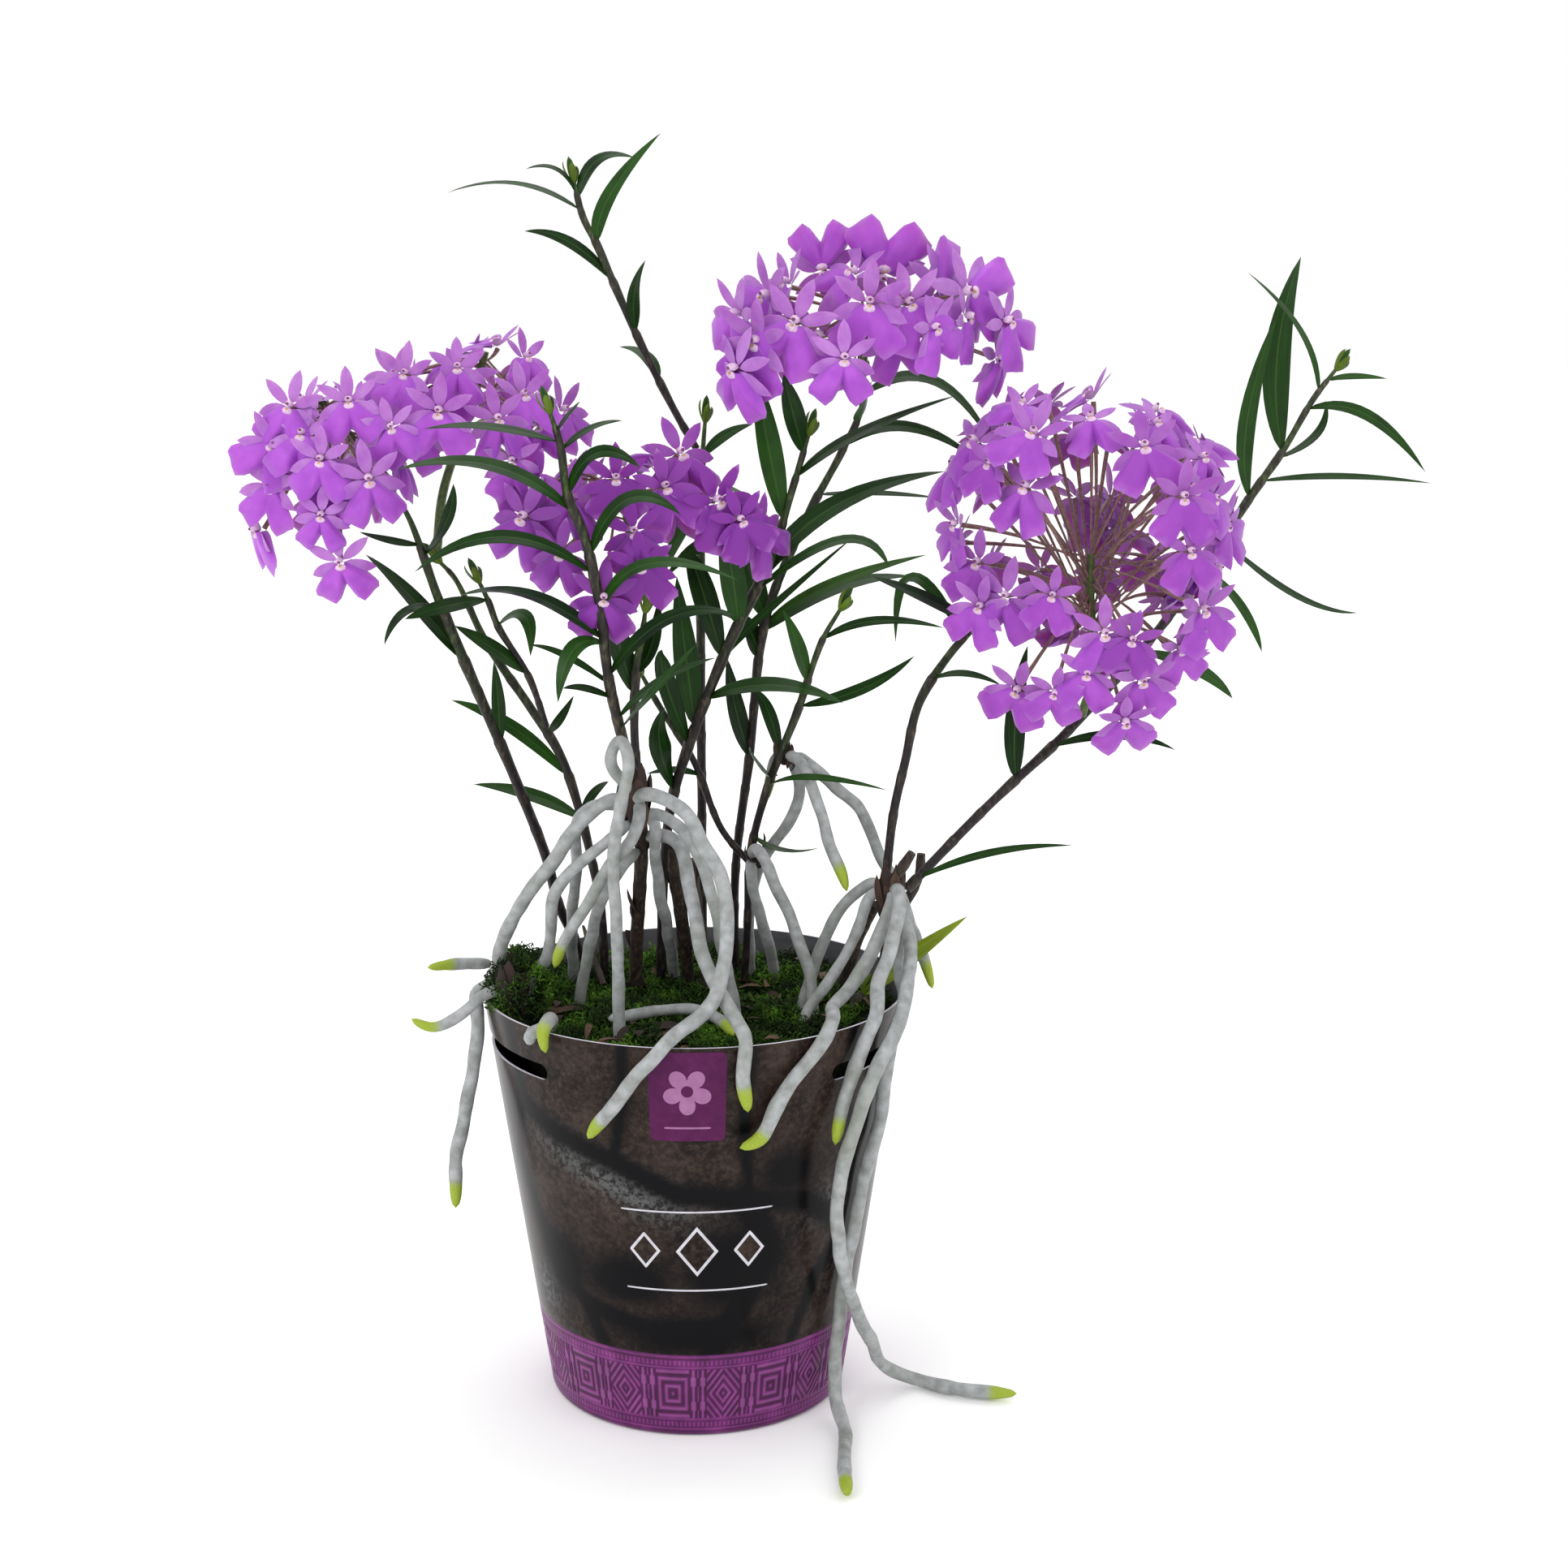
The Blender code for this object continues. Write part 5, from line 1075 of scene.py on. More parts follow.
row_of_diamonds = [decal((x, 73.0), superellipse(6.4 if x else 8.5, 7.0 if x else 9.5, 1.0, 24))
                   for x in (-21, 0, 21)]
piece("print_ornament", joined(rules + row_of_diamonds), [WHITE_INK])
piece("print_ornament_hearts",
      joined([decal((x, 73.0), superellipse(4.9 if x else 6.9, 5.4 if x else 7.8, 1.0, 24), 0.09)
              for x in (-21, 0, 21)]), [PRINT])

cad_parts["grow_pot"].material_slots[0].material = NURSERY_PLASTIC
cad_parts["bark_mix"].material_slots[0].material = bark_chips()


# --- moss and litter

def moss_edge(azimuth):
    """How far out the moss reaches: nearly to the wall, and held back behind the two slots."""
    edge = np.full(azimuth.shape, outer_radius(MOSS_LEVEL) - POT_WALL - 0.9)
    off = slot_reach(azimuth) / outer_radius(SLOT_LEVEL)
    chord = (RIM_RADIUS - FINGER_ROOM) / np.maximum(np.cos(off), 0.3)
    return np.where(slot_reach(azimuth) < SLOT_LENGTH / 2 + 1, np.minimum(edge, chord), edge)


def moss_surface(x, y):
    """The felt's height: a low crown with soft lumps, falling near its edge."""
    share = np.hypot(x, y) / RIM_RADIUS
    lumps = 1.3 * np.sin(x * 0.17 + 1.0) * np.cos(y * 0.21) + 0.8 * np.sin(x * 0.43 + y * 0.31)
    return MOSS_LEVEL + MOSS_CROWN * 0.2 - 3.0 * np.clip(share - 0.72, 0, 1) * 3 + lumps * 0.8


def moss_felt():
    """The closed body of the moss: a lumpy top, a side just inside the pot and a flat underside."""
    azimuth = np.linspace(-np.pi, np.pi, 180, endpoint=False)
    edge = moss_edge(azimuth)
    low = moss_low.z / MM
    shares = np.array([1.0, 0.985, 0.9, 0.8, 0.7, 0.58, 0.45, 0.3, 0.15, 0.0])
    radius = np.concatenate([[0.0 * edge, 0.9 * edge - 3], shares[:, None] * edge])
    x, y = radius * np.sin(azimuth), -radius * np.cos(azimuth)
    height = moss_surface(x, y)
    height[:2] = low
    height[2] -= 4.0
    height[-1] = height[-1].mean()
    return turned(radius, height, azimuth)


def moss_sprig():
    """One moss shoot: a tapered three-sided stem and six pointed leaflets that spread from it."""
    # lit is painted light: 0 at a sprig's foot, in the moss's shade, rising to 1 at its tip.
    parts = [tube([(0, 0, 0), (0.2, 0, 2.4), (0.8, 0, 5.2)], [0.45, 0.34, 0.0], sides=3,
                  lit=[0.0, 0.5, 1.0])]
    for k in range(6):
        angle = 2.4 * k
        way = np.array([math.cos(angle), math.sin(angle), 0.0])
        foot = np.array([0.1 * k, 0, 1.1 + 0.72 * k])
        tip = foot + way * 2.1 + np.array([0, 0, 1.5])
        middle = (foot + tip) / 2 + np.array([0, 0, 0.2])
        parts.append(tube([foot, middle, tip], [0.0, 0.38, 0.0], sides=3,
                          lit=[0.1 + 0.1 * k, 0.35 + 0.11 * k, 0.5 + 0.1 * k]))
    return joined(parts)


def spin_and_lean(spin, lean, way):
    """A turn about Z by spin, then a lean by an angle towards the azimuth way, as 3x3 matrices."""
    c, s = np.cos(spin), np.sin(spin)
    zero, one = np.zeros_like(c), np.ones_like(c)
    about_z = np.stack([c, -s, zero, s, c, zero, zero, zero, one], -1).reshape(-1, 3, 3)
    axis = np.stack([-np.sin(way), np.cos(way), zero], -1)
    k = np.zeros((len(spin), 3, 3))
    k[:, 0, 1], k[:, 0, 2], k[:, 1, 2] = -axis[:, 2], axis[:, 1], -axis[:, 0]
    k[:, 1, 0], k[:, 2, 0], k[:, 2, 1] = axis[:, 2], -axis[:, 1], axis[:, 0]
    tilt = np.eye(3) + np.sin(lean)[:, None, None] * k + (1 - np.cos(lean))[:, None, None] * (k @ k)
    return tilt @ about_z


def moss_carpet(count):
    """Places, turns and scales of sprigs all over the felt, evenly spread by area and leaning every
    way, taller in lush spots."""
    azimuth = RANDOM.uniform(-np.pi, np.pi, count)
    radius = np.sqrt(RANDOM.uniform(0, 1, count)) * (moss_edge(azimuth) - 2.6)
    x, y = radius * np.sin(azimuth), -radius * np.cos(azimuth)
    lush = 0.5 + 0.5 * np.sin(x * 0.11 + 2.0) * np.cos(y * 0.13 - 0.6)
    places = np.stack([x, y, moss_surface(x, y) - 0.8], -1)
    turns = spin_and_lean(RANDOM.uniform(0, 2 * np.pi, count), RANDOM.uniform(0, 0.75, count),
                          RANDOM.uniform(0, 2 * np.pi, count))
    scales = 0.55 + 0.5 * lush + RANDOM.uniform(0, 0.3, count)
    return places, turns, scales


def moss_tuft(tuft, count):
    """A tuft by the left of the rim: sprigs standing out all over an ellipsoid."""
    (cx, cy, h), radii = tuft
    way = unit(RANDOM.normal(0, 1, (count, 3)))
    places = np.array([cx, cy, MOSS_LEVEL + h]) + way * np.array(radii) * 0.82
    turns = spin_and_lean(RANDOM.uniform(0, 2 * np.pi, count), np.arccos(np.clip(way[:, 2], -1, 1)),
                          np.arctan2(way[:, 1], way[:, 0]))
    return scattered(moss_sprig(), places, turns, RANDOM.uniform(0.6, 1.0, count))


def scraps(count, spread, lift, size):
    """Curled scraps of dead leaf: short bowed blades lying every way on the moss."""
    parts = []
    for _ in range(count):
        angle, way = RANDOM.uniform(0, 2 * np.pi, 2)
        reach = math.sqrt(RANDOM.uniform(0.0, 1.0)) * spread
        x, y = reach * math.cos(angle), reach * math.sin(angle)
        z = float(moss_surface(np.array(x), np.array(y))) + RANDOM.uniform(*lift)
        half = RANDOM.uniform(*size) / 2
        along = np.array([math.cos(way), math.sin(way), RANDOM.uniform(-0.4, 0.5)]) * half
        middle = np.array([x, y, z + half * RANDOM.uniform(0.1, 0.5)])
        path = bow(np.array([x, y, z]) - along, middle, np.array([x, y, z]) + along, 6)
        swell = np.sin(np.pi * np.linspace(0.04, 0.97, 6)) ** 0.6
        parts.append(blade(path, unit(RANDOM.normal(0, 0.5, 3) + np.array([0, 0, 1.0])),
                           half * RANDOM.uniform(0.5, 1.0) * swell, SCRAP_THICKNESS,
                           fold=RANDOM.uniform(0.1, 0.6), sides=6,
                           tone=np.full(6, RANDOM.uniform(0, 1))))
    return joined(parts)


piece("moss_felt", moss_felt(), [FELT], ["moss_bed"])
carpet = moss_carpet(CARPET_SPRIGS)
at_front = carpet[0][:, 1] < 0
for name, chosen in (("moss_carpet_front", at_front), ("moss_carpet_back", ~at_front)):
    piece(name, scattered(moss_sprig(), *(column[chosen] for column in carpet)), [MOSS])
tuft_core = ball((CLUMP[0][0], CLUMP[0][1], MOSS_LEVEL + CLUMP[0][2]), np.array(CLUMP[1]) * 0.86, 9, 14)
piece("moss_tuft_core", tuft_core, [FELT], ["moss_clump"])
piece("moss_tuft", moss_tuft(CLUMP, TUFT_SPRIGS), [MOSS])
piece("moss_tuft_front", moss_tuft(FRONT_TUFT, TUFT_SPRIGS), [MOSS])
piece("leaf_litter", scraps(LITTER_SCRAPS, RIM_RADIUS - 9, (1.0, 4.5), (4, 11)), [LITTER])


# --- canes and leaves

def point_at(route, share):
    """The point that far along a route of straight steps."""
    lengths = np.concatenate([[0], np.cumsum(np.linalg.norm(np.diff(route, axis=0), axis=1))])
    return np.array([np.interp(share * lengths[-1], lengths, route[:, axis]) for axis in range(3)])


def cane(route, radius, leaf_shares, tip_radius=TIP_RADIUS, spacing=15.0, material=0):
    """A reed cane: even, then tapering over its last part, with a collar at each joint. Below a leaf
    the collar is the top of its sheath, which clasps the cane."""
    lengths = np.concatenate([[0], np.cumsum(np.linalg.norm(np.diff(route, axis=0), axis=1))])
    total = lengths[-1]
    share = lengths / total
    thick = radius + (tip_radius - radius) * np.clip((share - 0.7) / 0.3, 0, 1) ** 1.4
    collars = [s * total for s in leaf_shares]
    collars += [s for s in np.arange(spacing * 0.6, total * 0.98, spacing)
                if not collars or min(abs(s - c) for c in collars) > spacing * 0.6]
    sheath = np.zeros(len(route))
    swell = np.zeros(len(route))
    for at in collars:
        below = at - lengths
        leafy = any(abs(at - s * total) < 1e-6 for s in leaf_shares)
        length = LEAFY_SHEATH_LENGTH if leafy else BARE_SHEATH_LENGTH
        cover = np.clip(1 - below / length, 0, 1) * (below > -0.6)
        sheath = np.maximum(sheath, cover * (1.0 if leafy else 0.55))
        swell = np.maximum(swell, cover * (0.34 if leafy else 0.2))
    return tube(route, thick + swell * min(1.0, radius), sides=10, material=material, age=share,
                sheath=sheath)


def leaf(base, middle, tip, width, tone, twist, material=1):
    """A lance-shaped leaf on a bow, its width a sine of the length's 0.8 power, folded along its
    midrib, and twisted a little on its way."""
    count = 15
    path = bow(base, middle, tip, count)
    t = np.linspace(0, 1, count)
    swell = np.sin(np.pi * np.clip(t, 0.004, 0.996) ** 0.8) ** 0.8
    wide = np.maximum(width * swell, np.where(t < 0.5, 2.0 * (1 - t), 0.3))
    tangent = unit(np.gradient(path, axis=0))
    facing = np.array(LEAF_FACING) + np.cross(tangent, LEAF_FACING) * (twist * (0.35 + t))[:, None]
    return blade(path, facing, wide, LEAF_THICKNESS, fold=0.26, sides=10, material=material,
                 tone=np.full(count, tone))


def tip_bud(tip, way, size, tone):
    """A growing point: four folded leaf tips that close round it."""
    parts = []
    for k in range(4):
        out = unit(np.cross(way, [math.cos(1.7 * k), math.sin(1.7 * k), 0.3]))
        end = tip + way * size * (1.0 - 0.14 * k) + out * size * 0.22
        path = bow(tip - way * 1.5, (tip + end) / 2 + out * size * 0.18, end, 7)
        wide = size * 0.30 * np.sin(np.pi * np.linspace(0.1, 0.97, 7)) ** 0.7
        parts.append(blade(path, out, wide, 0.5, fold=-0.5, sides=6, material=1, tone=np.full(7, tone)))
    return parts


def shoot(radius, route, leaves, tone=0.4):
    """A cane with its leaves and the bud at its tip. tone is how pale its leaves are, from 0 to 1."""
    route = smooth_route(raised(route), ROUTE_STEP)
    parts = [cane(route, radius, [leaf_row[0] for leaf_row in leaves])]
    for share, middle, tip, width in leaves:
        base = point_at(route, share)
        shade = float(np.clip(RANDOM.normal(tone, 0.16) + 0.25 * (share - 0.5), 0.05, 1.0))
        parts.append(leaf(base, base + np.array(middle), base + np.array(tip), width,
                          min(shade, tone + 0.42), RANDOM.normal(0, 0.22)))
    parts += tip_bud(route[-1], unit(route[-1] - route[-4]), BUD_LENGTH, BUD_TONE)
    return joined(parts)


for name, row in SHOOTS.items():
    piece(name + "_grown", shoot(**row), [CANE, LEAF], [name], 70)


def old_cane(route, radius):
    """A bare cane with closer joints, hardly narrower at its broken end."""
    route = smooth_route(raised(route), ROUTE_STEP)
    return cane(route, radius, [], tip_radius=radius * 0.85, spacing=11.0)


def dry_sheaths(route, radius, count):
    """Torn papery sheaths that stand off an old cane."""
    route = smooth_route(raised(route), ROUTE_STEP)
    parts = []
    for _ in range(count):
        at = point_at(route, RANDOM.uniform(0.25, 0.97))
        out = unit(np.append(RANDOM.normal(0, 1, 2), RANDOM.normal(0.3, 0.4)))
        up = unit(route[-1] - route[0])
        end = at + out * RANDOM.uniform(2, 6) + up * RANDOM.uniform(4, 11)
        path = bow(at - up * 3, at + out * radius * 1.4 + up * 2, end, 7)
        wide = radius * RANDOM.uniform(1.2, 2.2) * np.sin(np.pi * np.linspace(0.2, 0.96, 7)) ** 0.7
        parts.append(blade(path, out, wide, SCRAP_THICKNESS, fold=-0.4, sides=6, material=1,
                           tone=np.full(7, RANDOM.uniform(0.1, 0.6))))
    return parts


for name, (route, radius) in OLD_CANES.items():
    sheaths = dry_sheaths(route, radius, 7) if name.startswith("old_cane") else []
    piece(name + "_dry", joined([old_cane(route, radius)] + sheaths), [DRY_CANE, LITTER], [name],
          70)
twig = smooth_route(raised(TWIG), 2.0)
piece("dead_twig_dry", cane(twig, TWIG_RADIUS, [], 0.5, 9.0), [DRY_CANE], ["dead_twig"])


# --- aerial roots

def wall_point(azimuth, clear, z):
    """A root's middle beside the pot: its skin is `clear` from the wall."""
    angle = math.radians(azimuth)
    reach = outer_radius(z) + ROOT_RADIUS + clear
    return (reach * math.sin(angle), -reach * math.cos(angle), z)


def rim_points(inner_azimuth, outer_azimuth):
    """Two points that carry a root over the rim without touching it."""
    lift = ROOT_RADIUS + RIM_CLEARANCE
    places = [(inner_azimuth, RIM_RADIUS - lift, POT_HEIGHT + lift + RIM_CLEARANCE),
              (outer_azimuth, RIM_RADIUS + 0.75 * lift, POT_HEIGHT + 0.75 * lift)]
    return [(reach * math.sin(math.radians(azimuth)), -reach * math.cos(math.radians(azimuth)), z)
            for azimuth, reach, z in places]


def clear_of_pot(route, radius):
    """Pushes a root's middle line out where its skin would touch the rim, the wall or the floor."""
    reach = np.hypot(route[:, 0], route[:, 1])
    way = route[:, :2] / np.maximum(reach, 1e-6)[:, None]
    off = np.stack([reach - (RIM_RADIUS - POT_WALL / 2), route[:, 2] - POT_HEIGHT], -1)
    near = np.maximum(np.linalg.norm(off, axis=-1, keepdims=True), 1e-6)
    off = off * np.maximum((radius[:, None] + 0.9) / near, 1.0)
    reach = off[:, 0] + RIM_RADIUS - POT_WALL / 2
    z = np.maximum(off[:, 1] + POT_HEIGHT, radius + 0.3)
    beside = (z < POT_HEIGHT) & (reach > RIM_RADIUS * z / POT_HEIGHT * 0.3 + BASE_RADIUS * 0.7)
    reach = np.where(beside, np.maximum(reach, outer_radius(z) + radius + 0.4), reach)
    return np.concatenate([way * reach[:, None], z[:, None]], axis=1)


def aerial_root(inside=(), rim=None, outside=(), floor=()):
    """A root: a little crooked, its radius swelling and shrinking along it. A free end narrows to a
    round point over its last 11 mm and is bare and green there."""
    points = raised(inside)
    if rim is not None:
        points += rim_points(*rim)
    points += [wall_point(azimuth, clear, share * POT_HEIGHT) for azimuth, clear, share in outside]
    points += [(x, y, ROOT_RADIUS + FLOOR_GAP) for x, y in floor]
    route = smooth_route(points, 1.5)
    count = len(route)
    rooted = not outside and route[-1][2] < MOSS_LEVEL
    lengths = np.concatenate([[0], np.cumsum(np.linalg.norm(np.diff(route, axis=0), axis=1))])
    to_go = lengths[-1] - lengths
    free = np.ones(count) if not floor else np.clip((route[:, 2] - 8) / 10, 0, 1)
    ease = np.clip(lengths / 6, 0, 1) * np.clip(to_go / 6, 0, 1) * free
    crook = np.stack([wander(count, 0.32, 5) for _ in range(3)], -1) * ease[:, None]
    largest = ROOT_RADIUS if outside else INNER_ROOT_RADIUS
    radius = largest * (0.95 + wander(count, 0.035, 3) + wander(count, 0.03, 9))
    start = np.clip(lengths / 2.5, 0.05, 1)
    radius = radius * np.clip(0.75 + lengths / 14, 0, 1) * np.sqrt(1 - (1 - start) ** 2)
    tip = np.zeros(count)
    if not rooted:
        taper = np.clip(to_go / TIP_TAPER_LENGTH, 0, 1)
        radius = radius * np.sqrt(np.maximum(1 - (1 - taper) ** 2.0, 0.0)) ** 0.9
        tip = 1 / (1 + np.exp((to_go - BARE_TIP_LENGTH) * 2.2))
    radius = np.maximum(np.minimum(radius, largest + 0.25), 0.12)
    route = route + crook
    for _ in range(8):
        route[1:-1] = route[:-2] / 4 + route[1:-1] / 2 + route[2:] / 4
    if rim is not None or outside:
        route = clear_of_pot(route, radius)
    return tube(route, radius, sides=14, tip=tip)


for name, row in ROOTS.items():
    piece(name + "_grown", aerial_root(**row), [ROOT], [name], 70)


def crown(centre, reach, count):
    """A knot of old sheaths where a plantlet sits: a small core, and torn scraps that clasp it."""
    centre = raised([centre])[0]
    parts = [ball(centre, np.array([0.62, 0.62, 1.0]) * reach, 9, 12, tone=np.full(9, 0.15))]
    for _ in range(count):
        turn = RANDOM.uniform(0, 2 * np.pi)
        out = np.array([math.cos(turn), math.sin(turn), RANDOM.normal(0, 0.3)])
        base = centre + out * reach * 0.5 - np.array([0, 0, reach * RANDOM.uniform(0.4, 1.6)])
        tip = base + out * RANDOM.uniform(0.2, 3.5) + np.array([0, 0, reach * RANDOM.uniform(1.2, 2.6)])
        path = bow(base, (base + tip) / 2 + out * 1.6, tip, 7)
        wide = reach * RANDOM.uniform(0.45, 0.9) * np.sin(np.pi * np.linspace(0.15, 0.96, 7)) ** 0.7
        parts.append(blade(path, out, wide, SCRAP_THICKNESS, fold=-0.5, sides=6,
                           tone=np.full(7, RANDOM.uniform(0.1, 0.7))))
    return joined(parts)


CROWNS = {"plantlet_crown": ((-20, -34, 84), 7.0, 26), "right_crown": ((32, 7, 90), 4.0, 10),
          "fan_crown": ((68, -16, 46), 6.5, 18), "middle_crown": ((22, 8, 54), 3.6, 9),
          "left_tuft_scraps": ((-63, -24, 14), 7.0, 16)}
for name, (centre, reach, count) in CROWNS.items():
    piece(name, crown(centre, reach, count), [LITTER])


# --- flowers

# Sepals and petals: angle from the top, length, width and how far the end bends back, in mm.
TEPALS = [(0, 12.2, 4.8, 1.5), (58, 12.0, 4.1, 0.5), (-58, 12.0, 4.1, 0.5), (114, 11.6, 4.8, 3.2),
          (-114, 11.6, 4.8, 3.2)]
# Half of the lip's outline: degrees from its middle line, and reach in mm. The notch is at 0.
LIP_FAN = [(0, 8.8), (7, 11.0), (13, 14.2), (20, 16.6), (30, 16.0), (40, 15.6), (48, 16.0), (54, 14.8),
           (59, 11.4), (66, 8.0), (76, 5.4), (94, 3.2)]


def tepal(angle, length, width, back, lean):
    """A sepal or petal: an ellipse drawn out from the middle, its end bending back."""
    t = np.linspace(0, 1, 7)
    turn = math.radians(angle)
    way = np.array([math.sin(turn), math.cos(turn), 0.0])
    path = way * (1.0 + length * t)[:, None]
    path[:, 2] += 0.6 + lean * length * t - back * t ** 2
    wide = width * np.sin(np.pi * np.clip(t, 0.05, 0.95) ** 0.95) ** 0.7
    return blade(path, (0.0, 0.0, 1.0), wide, PETAL_THICKNESS, fold=0.1, sides=8, material=TEPAL_SLOT,
                 tone=np.clip(0.7 - t * 1.4, 0, 1))


def lip(droop, spread):
    """The lip: a fan of rays from its foot, each as long as the outline says, in two lobes that arch
    forwards and then fall back. Its two faces meet at every edge."""
    degrees, reach, _ = smooth_route([(0.3 * d, r, 0) for d, r in LIP_FAN], 2.4).T / [[0.3], [1], [1]]
    degrees = np.concatenate([-degrees[:0:-1], degrees])
    reach = np.concatenate([reach[:0:-1], reach])
    share = degrees / degrees[-1]
    s = np.linspace(0, 1, 6)[:, None]
    turn = np.radians(degrees)[None, :] * spread
    x = reach * s * np.sin(turn)
    y = -reach * s * np.cos(turn) - 0.6
    z = 2.6 + 2.2 * s - (droop + 1.6 * np.abs(share)) * s ** 2 - 0.9 * np.exp(-(share / 0.1) ** 2) * s
    z = z + 0.5 * np.sin(9 * share + droop) * s ** 3
    thick = 0.22 * (1 - s ** 4) * (1 - np.abs(share) ** 8) * np.minimum(1, 4 * s)
    uv = np.stack([s + 0 * share, (share + 1) / 2 + 0 * s], -1)
    tone = np.clip(0.5 - s * 1.2, 0, 1) + 0 * share
    front = np.stack([x, y, z + thick], -1)
    back = np.stack([x, y, z - thick], -1)
    faces = [patch(front[:, ::-1], uv[:, ::-1], material=LIP_SLOT, tone=tone, under=0 * s),
             patch(back, uv, material=LIP_SLOT, tone=tone, under=0 * s + 1)]
    return faces


def flower(droop, lean, spread):
    """One flower in mm, facing +Z with its top sepal towards +Y, about the foot of its column."""
    parts = [tepal(*row, lean) for row in TEPALS] + lip(droop, spread)
    parts.append(ball((0, -1.5, 2.9), (2.0, 1.3, 0.9), 5, 8, material=CALLUS_SLOT))
    parts.append(ball((0, 1.0, 2.6), (1.5, 1.2, 2.1), 5, 8, material=CALLUS_SLOT))
    parts.append(ball((0, 0.9, 4.4), (0.75, 0.6, 0.6), 4, 6, material=ANTHER_SLOT))
    parts.append(ball((0, -0.9, 3.6), (0.6, 0.45, 0.4), 4, 6, material=NECTAR_SLOT))
    return joined(parts)


FLOWER_KINDS = [flower(3.2, 0.16, 1.0), flower(5.5, 0.0, 0.84), flower(4.0, 0.35, 1.1),
                flower(7.0, -0.15, 0.92), flower(2.0, 0.5, 0.95)]


def spread_directions(count):
    """Even directions over a ball: heights step evenly and each turns on by the golden angle."""
    k = np.arange(count) + 0.5
    z = 1 - 2 * k / count
    turn = k * np.pi * (3 - math.sqrt(5))
    flat = np.sqrt(1 - z * z)
    return np.stack([flat * np.cos(turn), flat * np.sin(turn), z], -1)


def facing_turns(facing, lip_way):
    """3x3 matrices whose columns are a flower's right, top and front."""
    facing = unit(facing)
    top = -unit(lip_way - facing * (lip_way * facing).sum(-1, keepdims=True))
    return np.stack([np.cross(top, facing), top, facing], -1)


def dome_flowers(centre, radii, opening, offset, count):
    """Places and ways over a dome: each faces outwards, and a little more to the light at the front,
    and its lip hangs outwards and down."""
    radii = np.array(radii, float)
    opening = unit(np.array(opening, float))
    total = count
    while True:
        way = spread_directions(total)
        kept = (way * radii) @ opening < offset
        if kept.sum() >= count:
            break
        total += 1
    way = unit(way[kept] + RANDOM.normal(0, 0.1, (kept.sum(), 3)))
    places = raised([centre])[0] + way * (radii - RANDOM.uniform(2, 9, len(way))[:, None])
    outward = unit(way / radii)
    facing = unit(outward + np.array([0, -0.45, 0.0]) + RANDOM.normal(0, 0.26, way.shape))
    lip_way = np.array([0, 0, -0.8]) + outward * np.array([1, 1, 0]) * 0.8
    return places, facing, lip_way + RANDOM.normal(0, 0.26, way.shape)


def given_flowers(rows):
    """Places and ways of flowers that are each given."""
    places = np.array(raised([row[:3] for row in rows]))
    turn, yaw, pitch = np.radians(np.array(rows, float)[:, 3:]).T
    facing = np.stack([np.sin(yaw) * np.cos(pitch), -np.cos(yaw) * np.cos(pitch), np.sin(pitch)], -1)
    lip_way = np.stack([-np.sin(turn), np.zeros(len(turn)), -np.cos(turn)], -1)
    return places, facing, lip_way


def flower_head(stalk, scale, shade, given, **dome):
    """An umbel: its stalk, and flowers on pedicels that spring from the stalk's last stretch."""
    places, facing, lip_way = given_flowers(given)
    if dome:
        more = dome_flowers(**dome)
        clear = np.linalg.norm(more[0][:, None] - places[None], axis=-1).min(axis=1) > 9.0
        places, facing, lip_way = (np.concatenate([a, b[clear]])
                                   for a, b in zip((places, facing, lip_way), more))
    stalk = smooth_route(raised(stalk), 2.0)
    parts = [tube(stalk, 1.7 - 0.4 * np.linspace(0, 1, len(stalk)), sides=8, material=STALK_SLOT)]
    turns = facing_turns(facing, lip_way)
    kinds = RANDOM.integers(0, len(FLOWER_KINDS), len(places))
    scales = scale * RANDOM.uniform(0.86, 1.1, len(places))
    # Painted shade: each flower is darkened by its head's shade, with a little random spread per flower.
    deep = np.clip(shade + RANDOM.normal(0, 0.15, len(places)), 0, 1)
    for kind, shape in enumerate(FLOWER_KINDS):
        chosen = kinds == kind
        if chosen.any():
            parts.append(scattered(shape, places[chosen], turns[chosen], scales[chosen],
                                   deep=deep[chosen]))
    for place, way in zip(places, unit(facing)):
        start = point_at(stalk, RANDOM.uniform(0.5, 1.0))
        end = place - way * 0.5
        path = bow(start, (start + end) / 2 - way * 2.5 + np.array([0, 0, 2.0]), end, 9)
        swell = np.clip(np.linspace(-0.6, 1, 9), 0, 1)
        parts.append(tube(path, 0.4 + 0.5 * swell, sides=6, material=PEDICEL_SLOT))
    return joined(parts)


for name, row in HEADS.items():
    piece(name + "_umbel", flower_head(**row), FLOWER_SKINS, [name], 60)


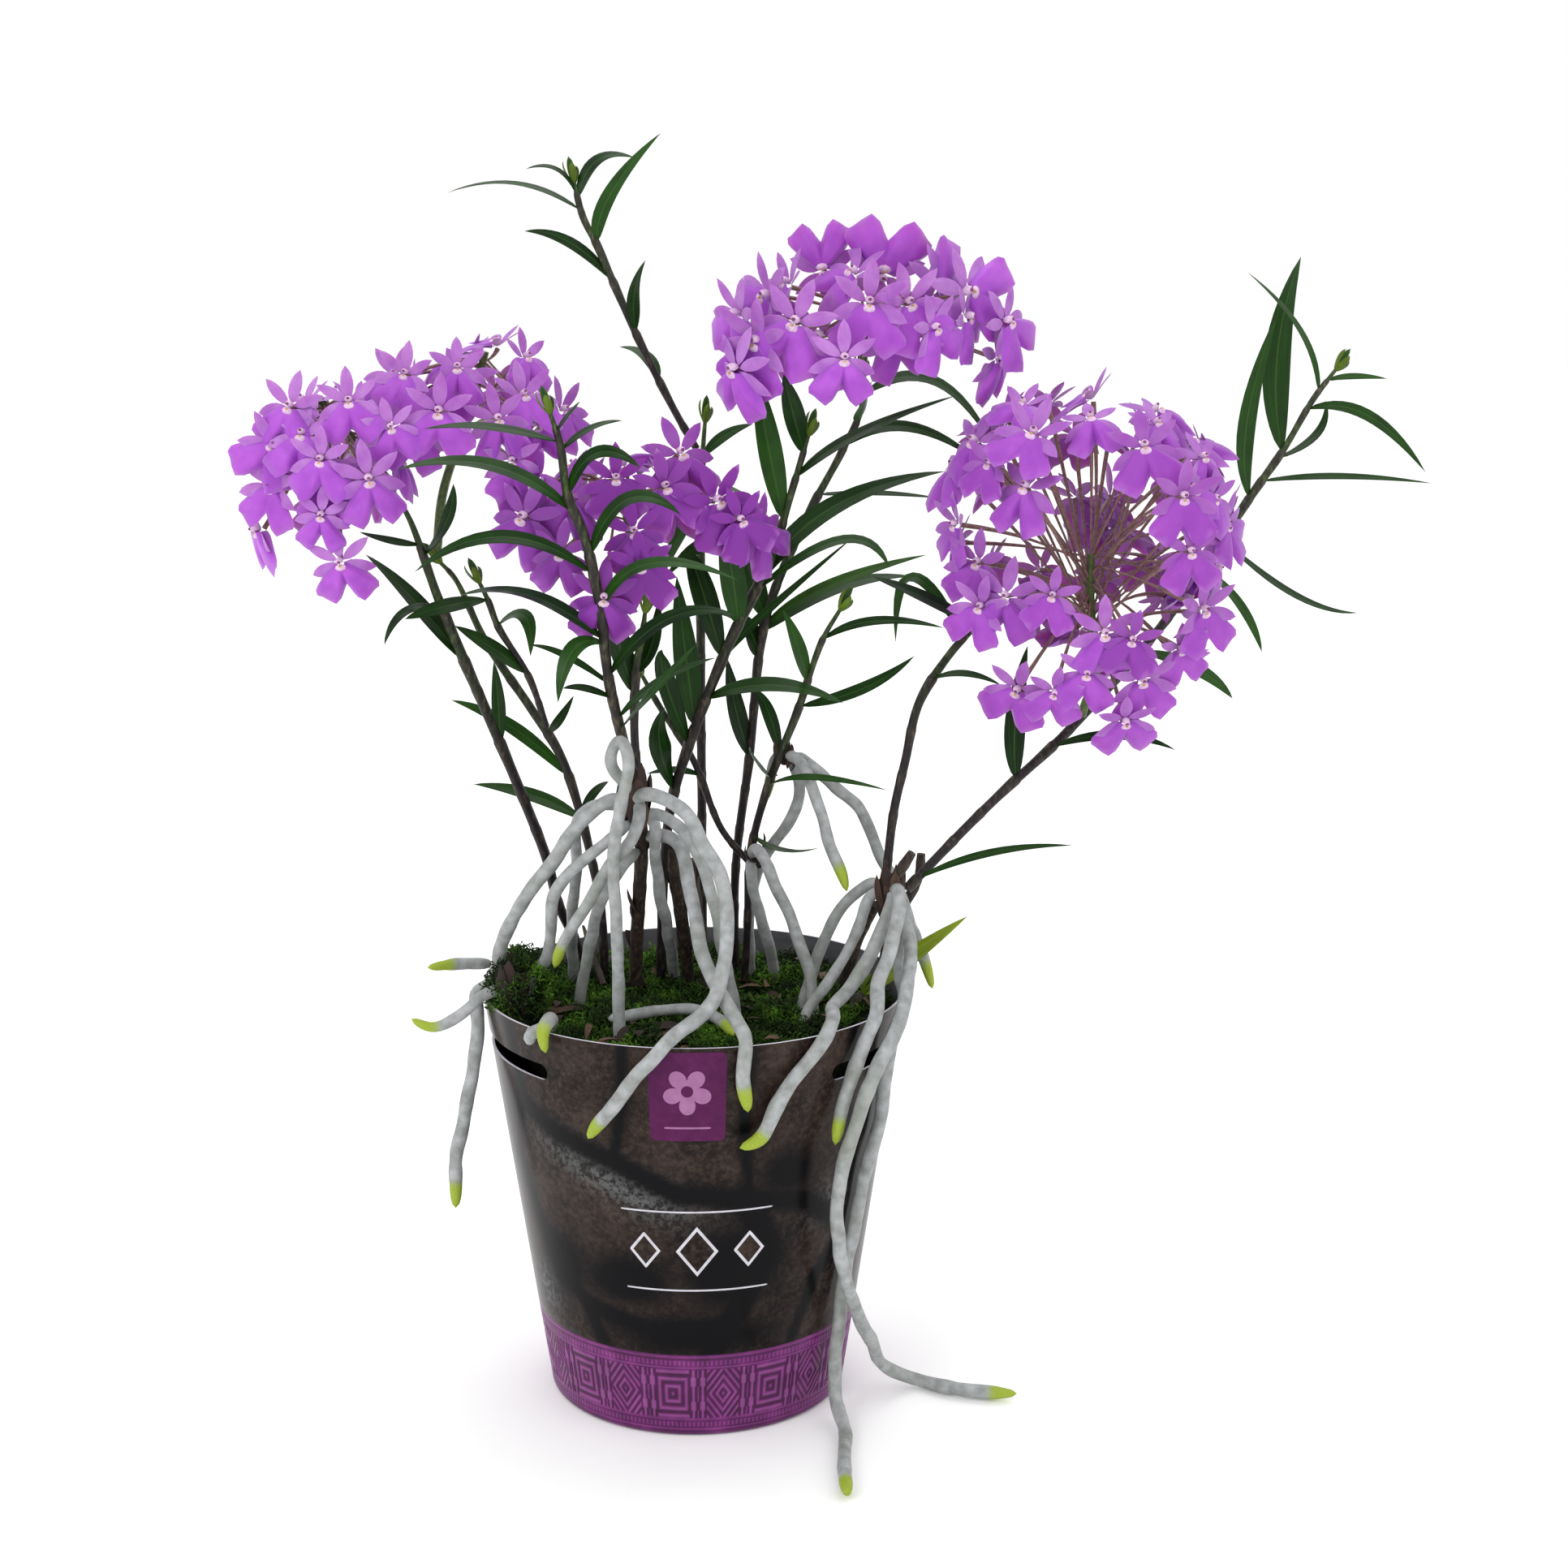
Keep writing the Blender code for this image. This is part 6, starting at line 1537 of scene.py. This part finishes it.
# --- floor, light and camera

def stage_floor():
    """A wide square of white paper under the pot."""
    mesh = bpy.data.meshes.new("studio_floor")
    reach = 6.0
    mesh.from_pydata([(-reach, -reach, 0), (reach, -reach, 0), (reach, reach, 0), (-reach, reach, 0)],
                     [], [(0, 1, 2, 3)])
    floor = bpy.data.objects.new("studio_floor", mesh)
    bpy.context.scene.collection.objects.link(floor)
    mesh.materials.append(mottled("white_studio_paper", 60, [(0.3, "#FCFCFC"), (0.7, "#FFFFFF")],
                                  Roughness=0.9, Specular_IOR_Level=0.1, Emission_Color="#FFFFFF",
                                  Emission_Strength=0.06))


def area_light(name, place, aim, size, power):
    """A round soft light at a place in metres, turned to its aim, with a power in watts."""
    data = bpy.data.lights.new(name, "AREA")
    data.shape = "DISK"
    data.size = size
    data.energy = power
    lamp = bpy.data.objects.new(name, data)
    bpy.context.scene.collection.objects.link(lamp)
    lamp.location = place
    way = np.array(aim, float) - np.array(place, float)
    lamp.rotation_euler = (math.atan2(math.hypot(way[0], way[1]), -way[2]), 0.0,
                           math.atan2(-way[0], way[1]))


stage_floor()
area_light("softbox_left", (-1.3, -1.5, 1.7), (0, 0, 0.2), 1.2, 13)
area_light("softbox_right", (1.6, -1.0, 1.2), (0, 0, 0.2), 1.2, 3)
area_light("softbox_top", (0.2, 0.6, 2.0), (0, 0, 0.2), 1.4, 9)

world = bpy.data.worlds.new("white_studio")
bpy.context.scene.world = world
world.use_nodes = True
world.node_tree.nodes["Background"].inputs["Color"].default_value = (1, 1, 1, 1)
world.node_tree.nodes["Background"].inputs["Strength"].default_value = 1.0
bpy.context.scene.view_settings.view_transform = "Standard"

camera_data = bpy.data.cameras.new("camera")
camera_data.lens = 60.0
camera_data.sensor_width = 36.0
camera = bpy.data.objects.new("camera", camera_data)
bpy.context.scene.collection.objects.link(camera)
camera.location = (0.0, -0.894, 0.4175)
camera.rotation_euler = (math.radians(90 - 12.4), 0.0, math.radians(-2.03))
bpy.context.scene.camera = camera
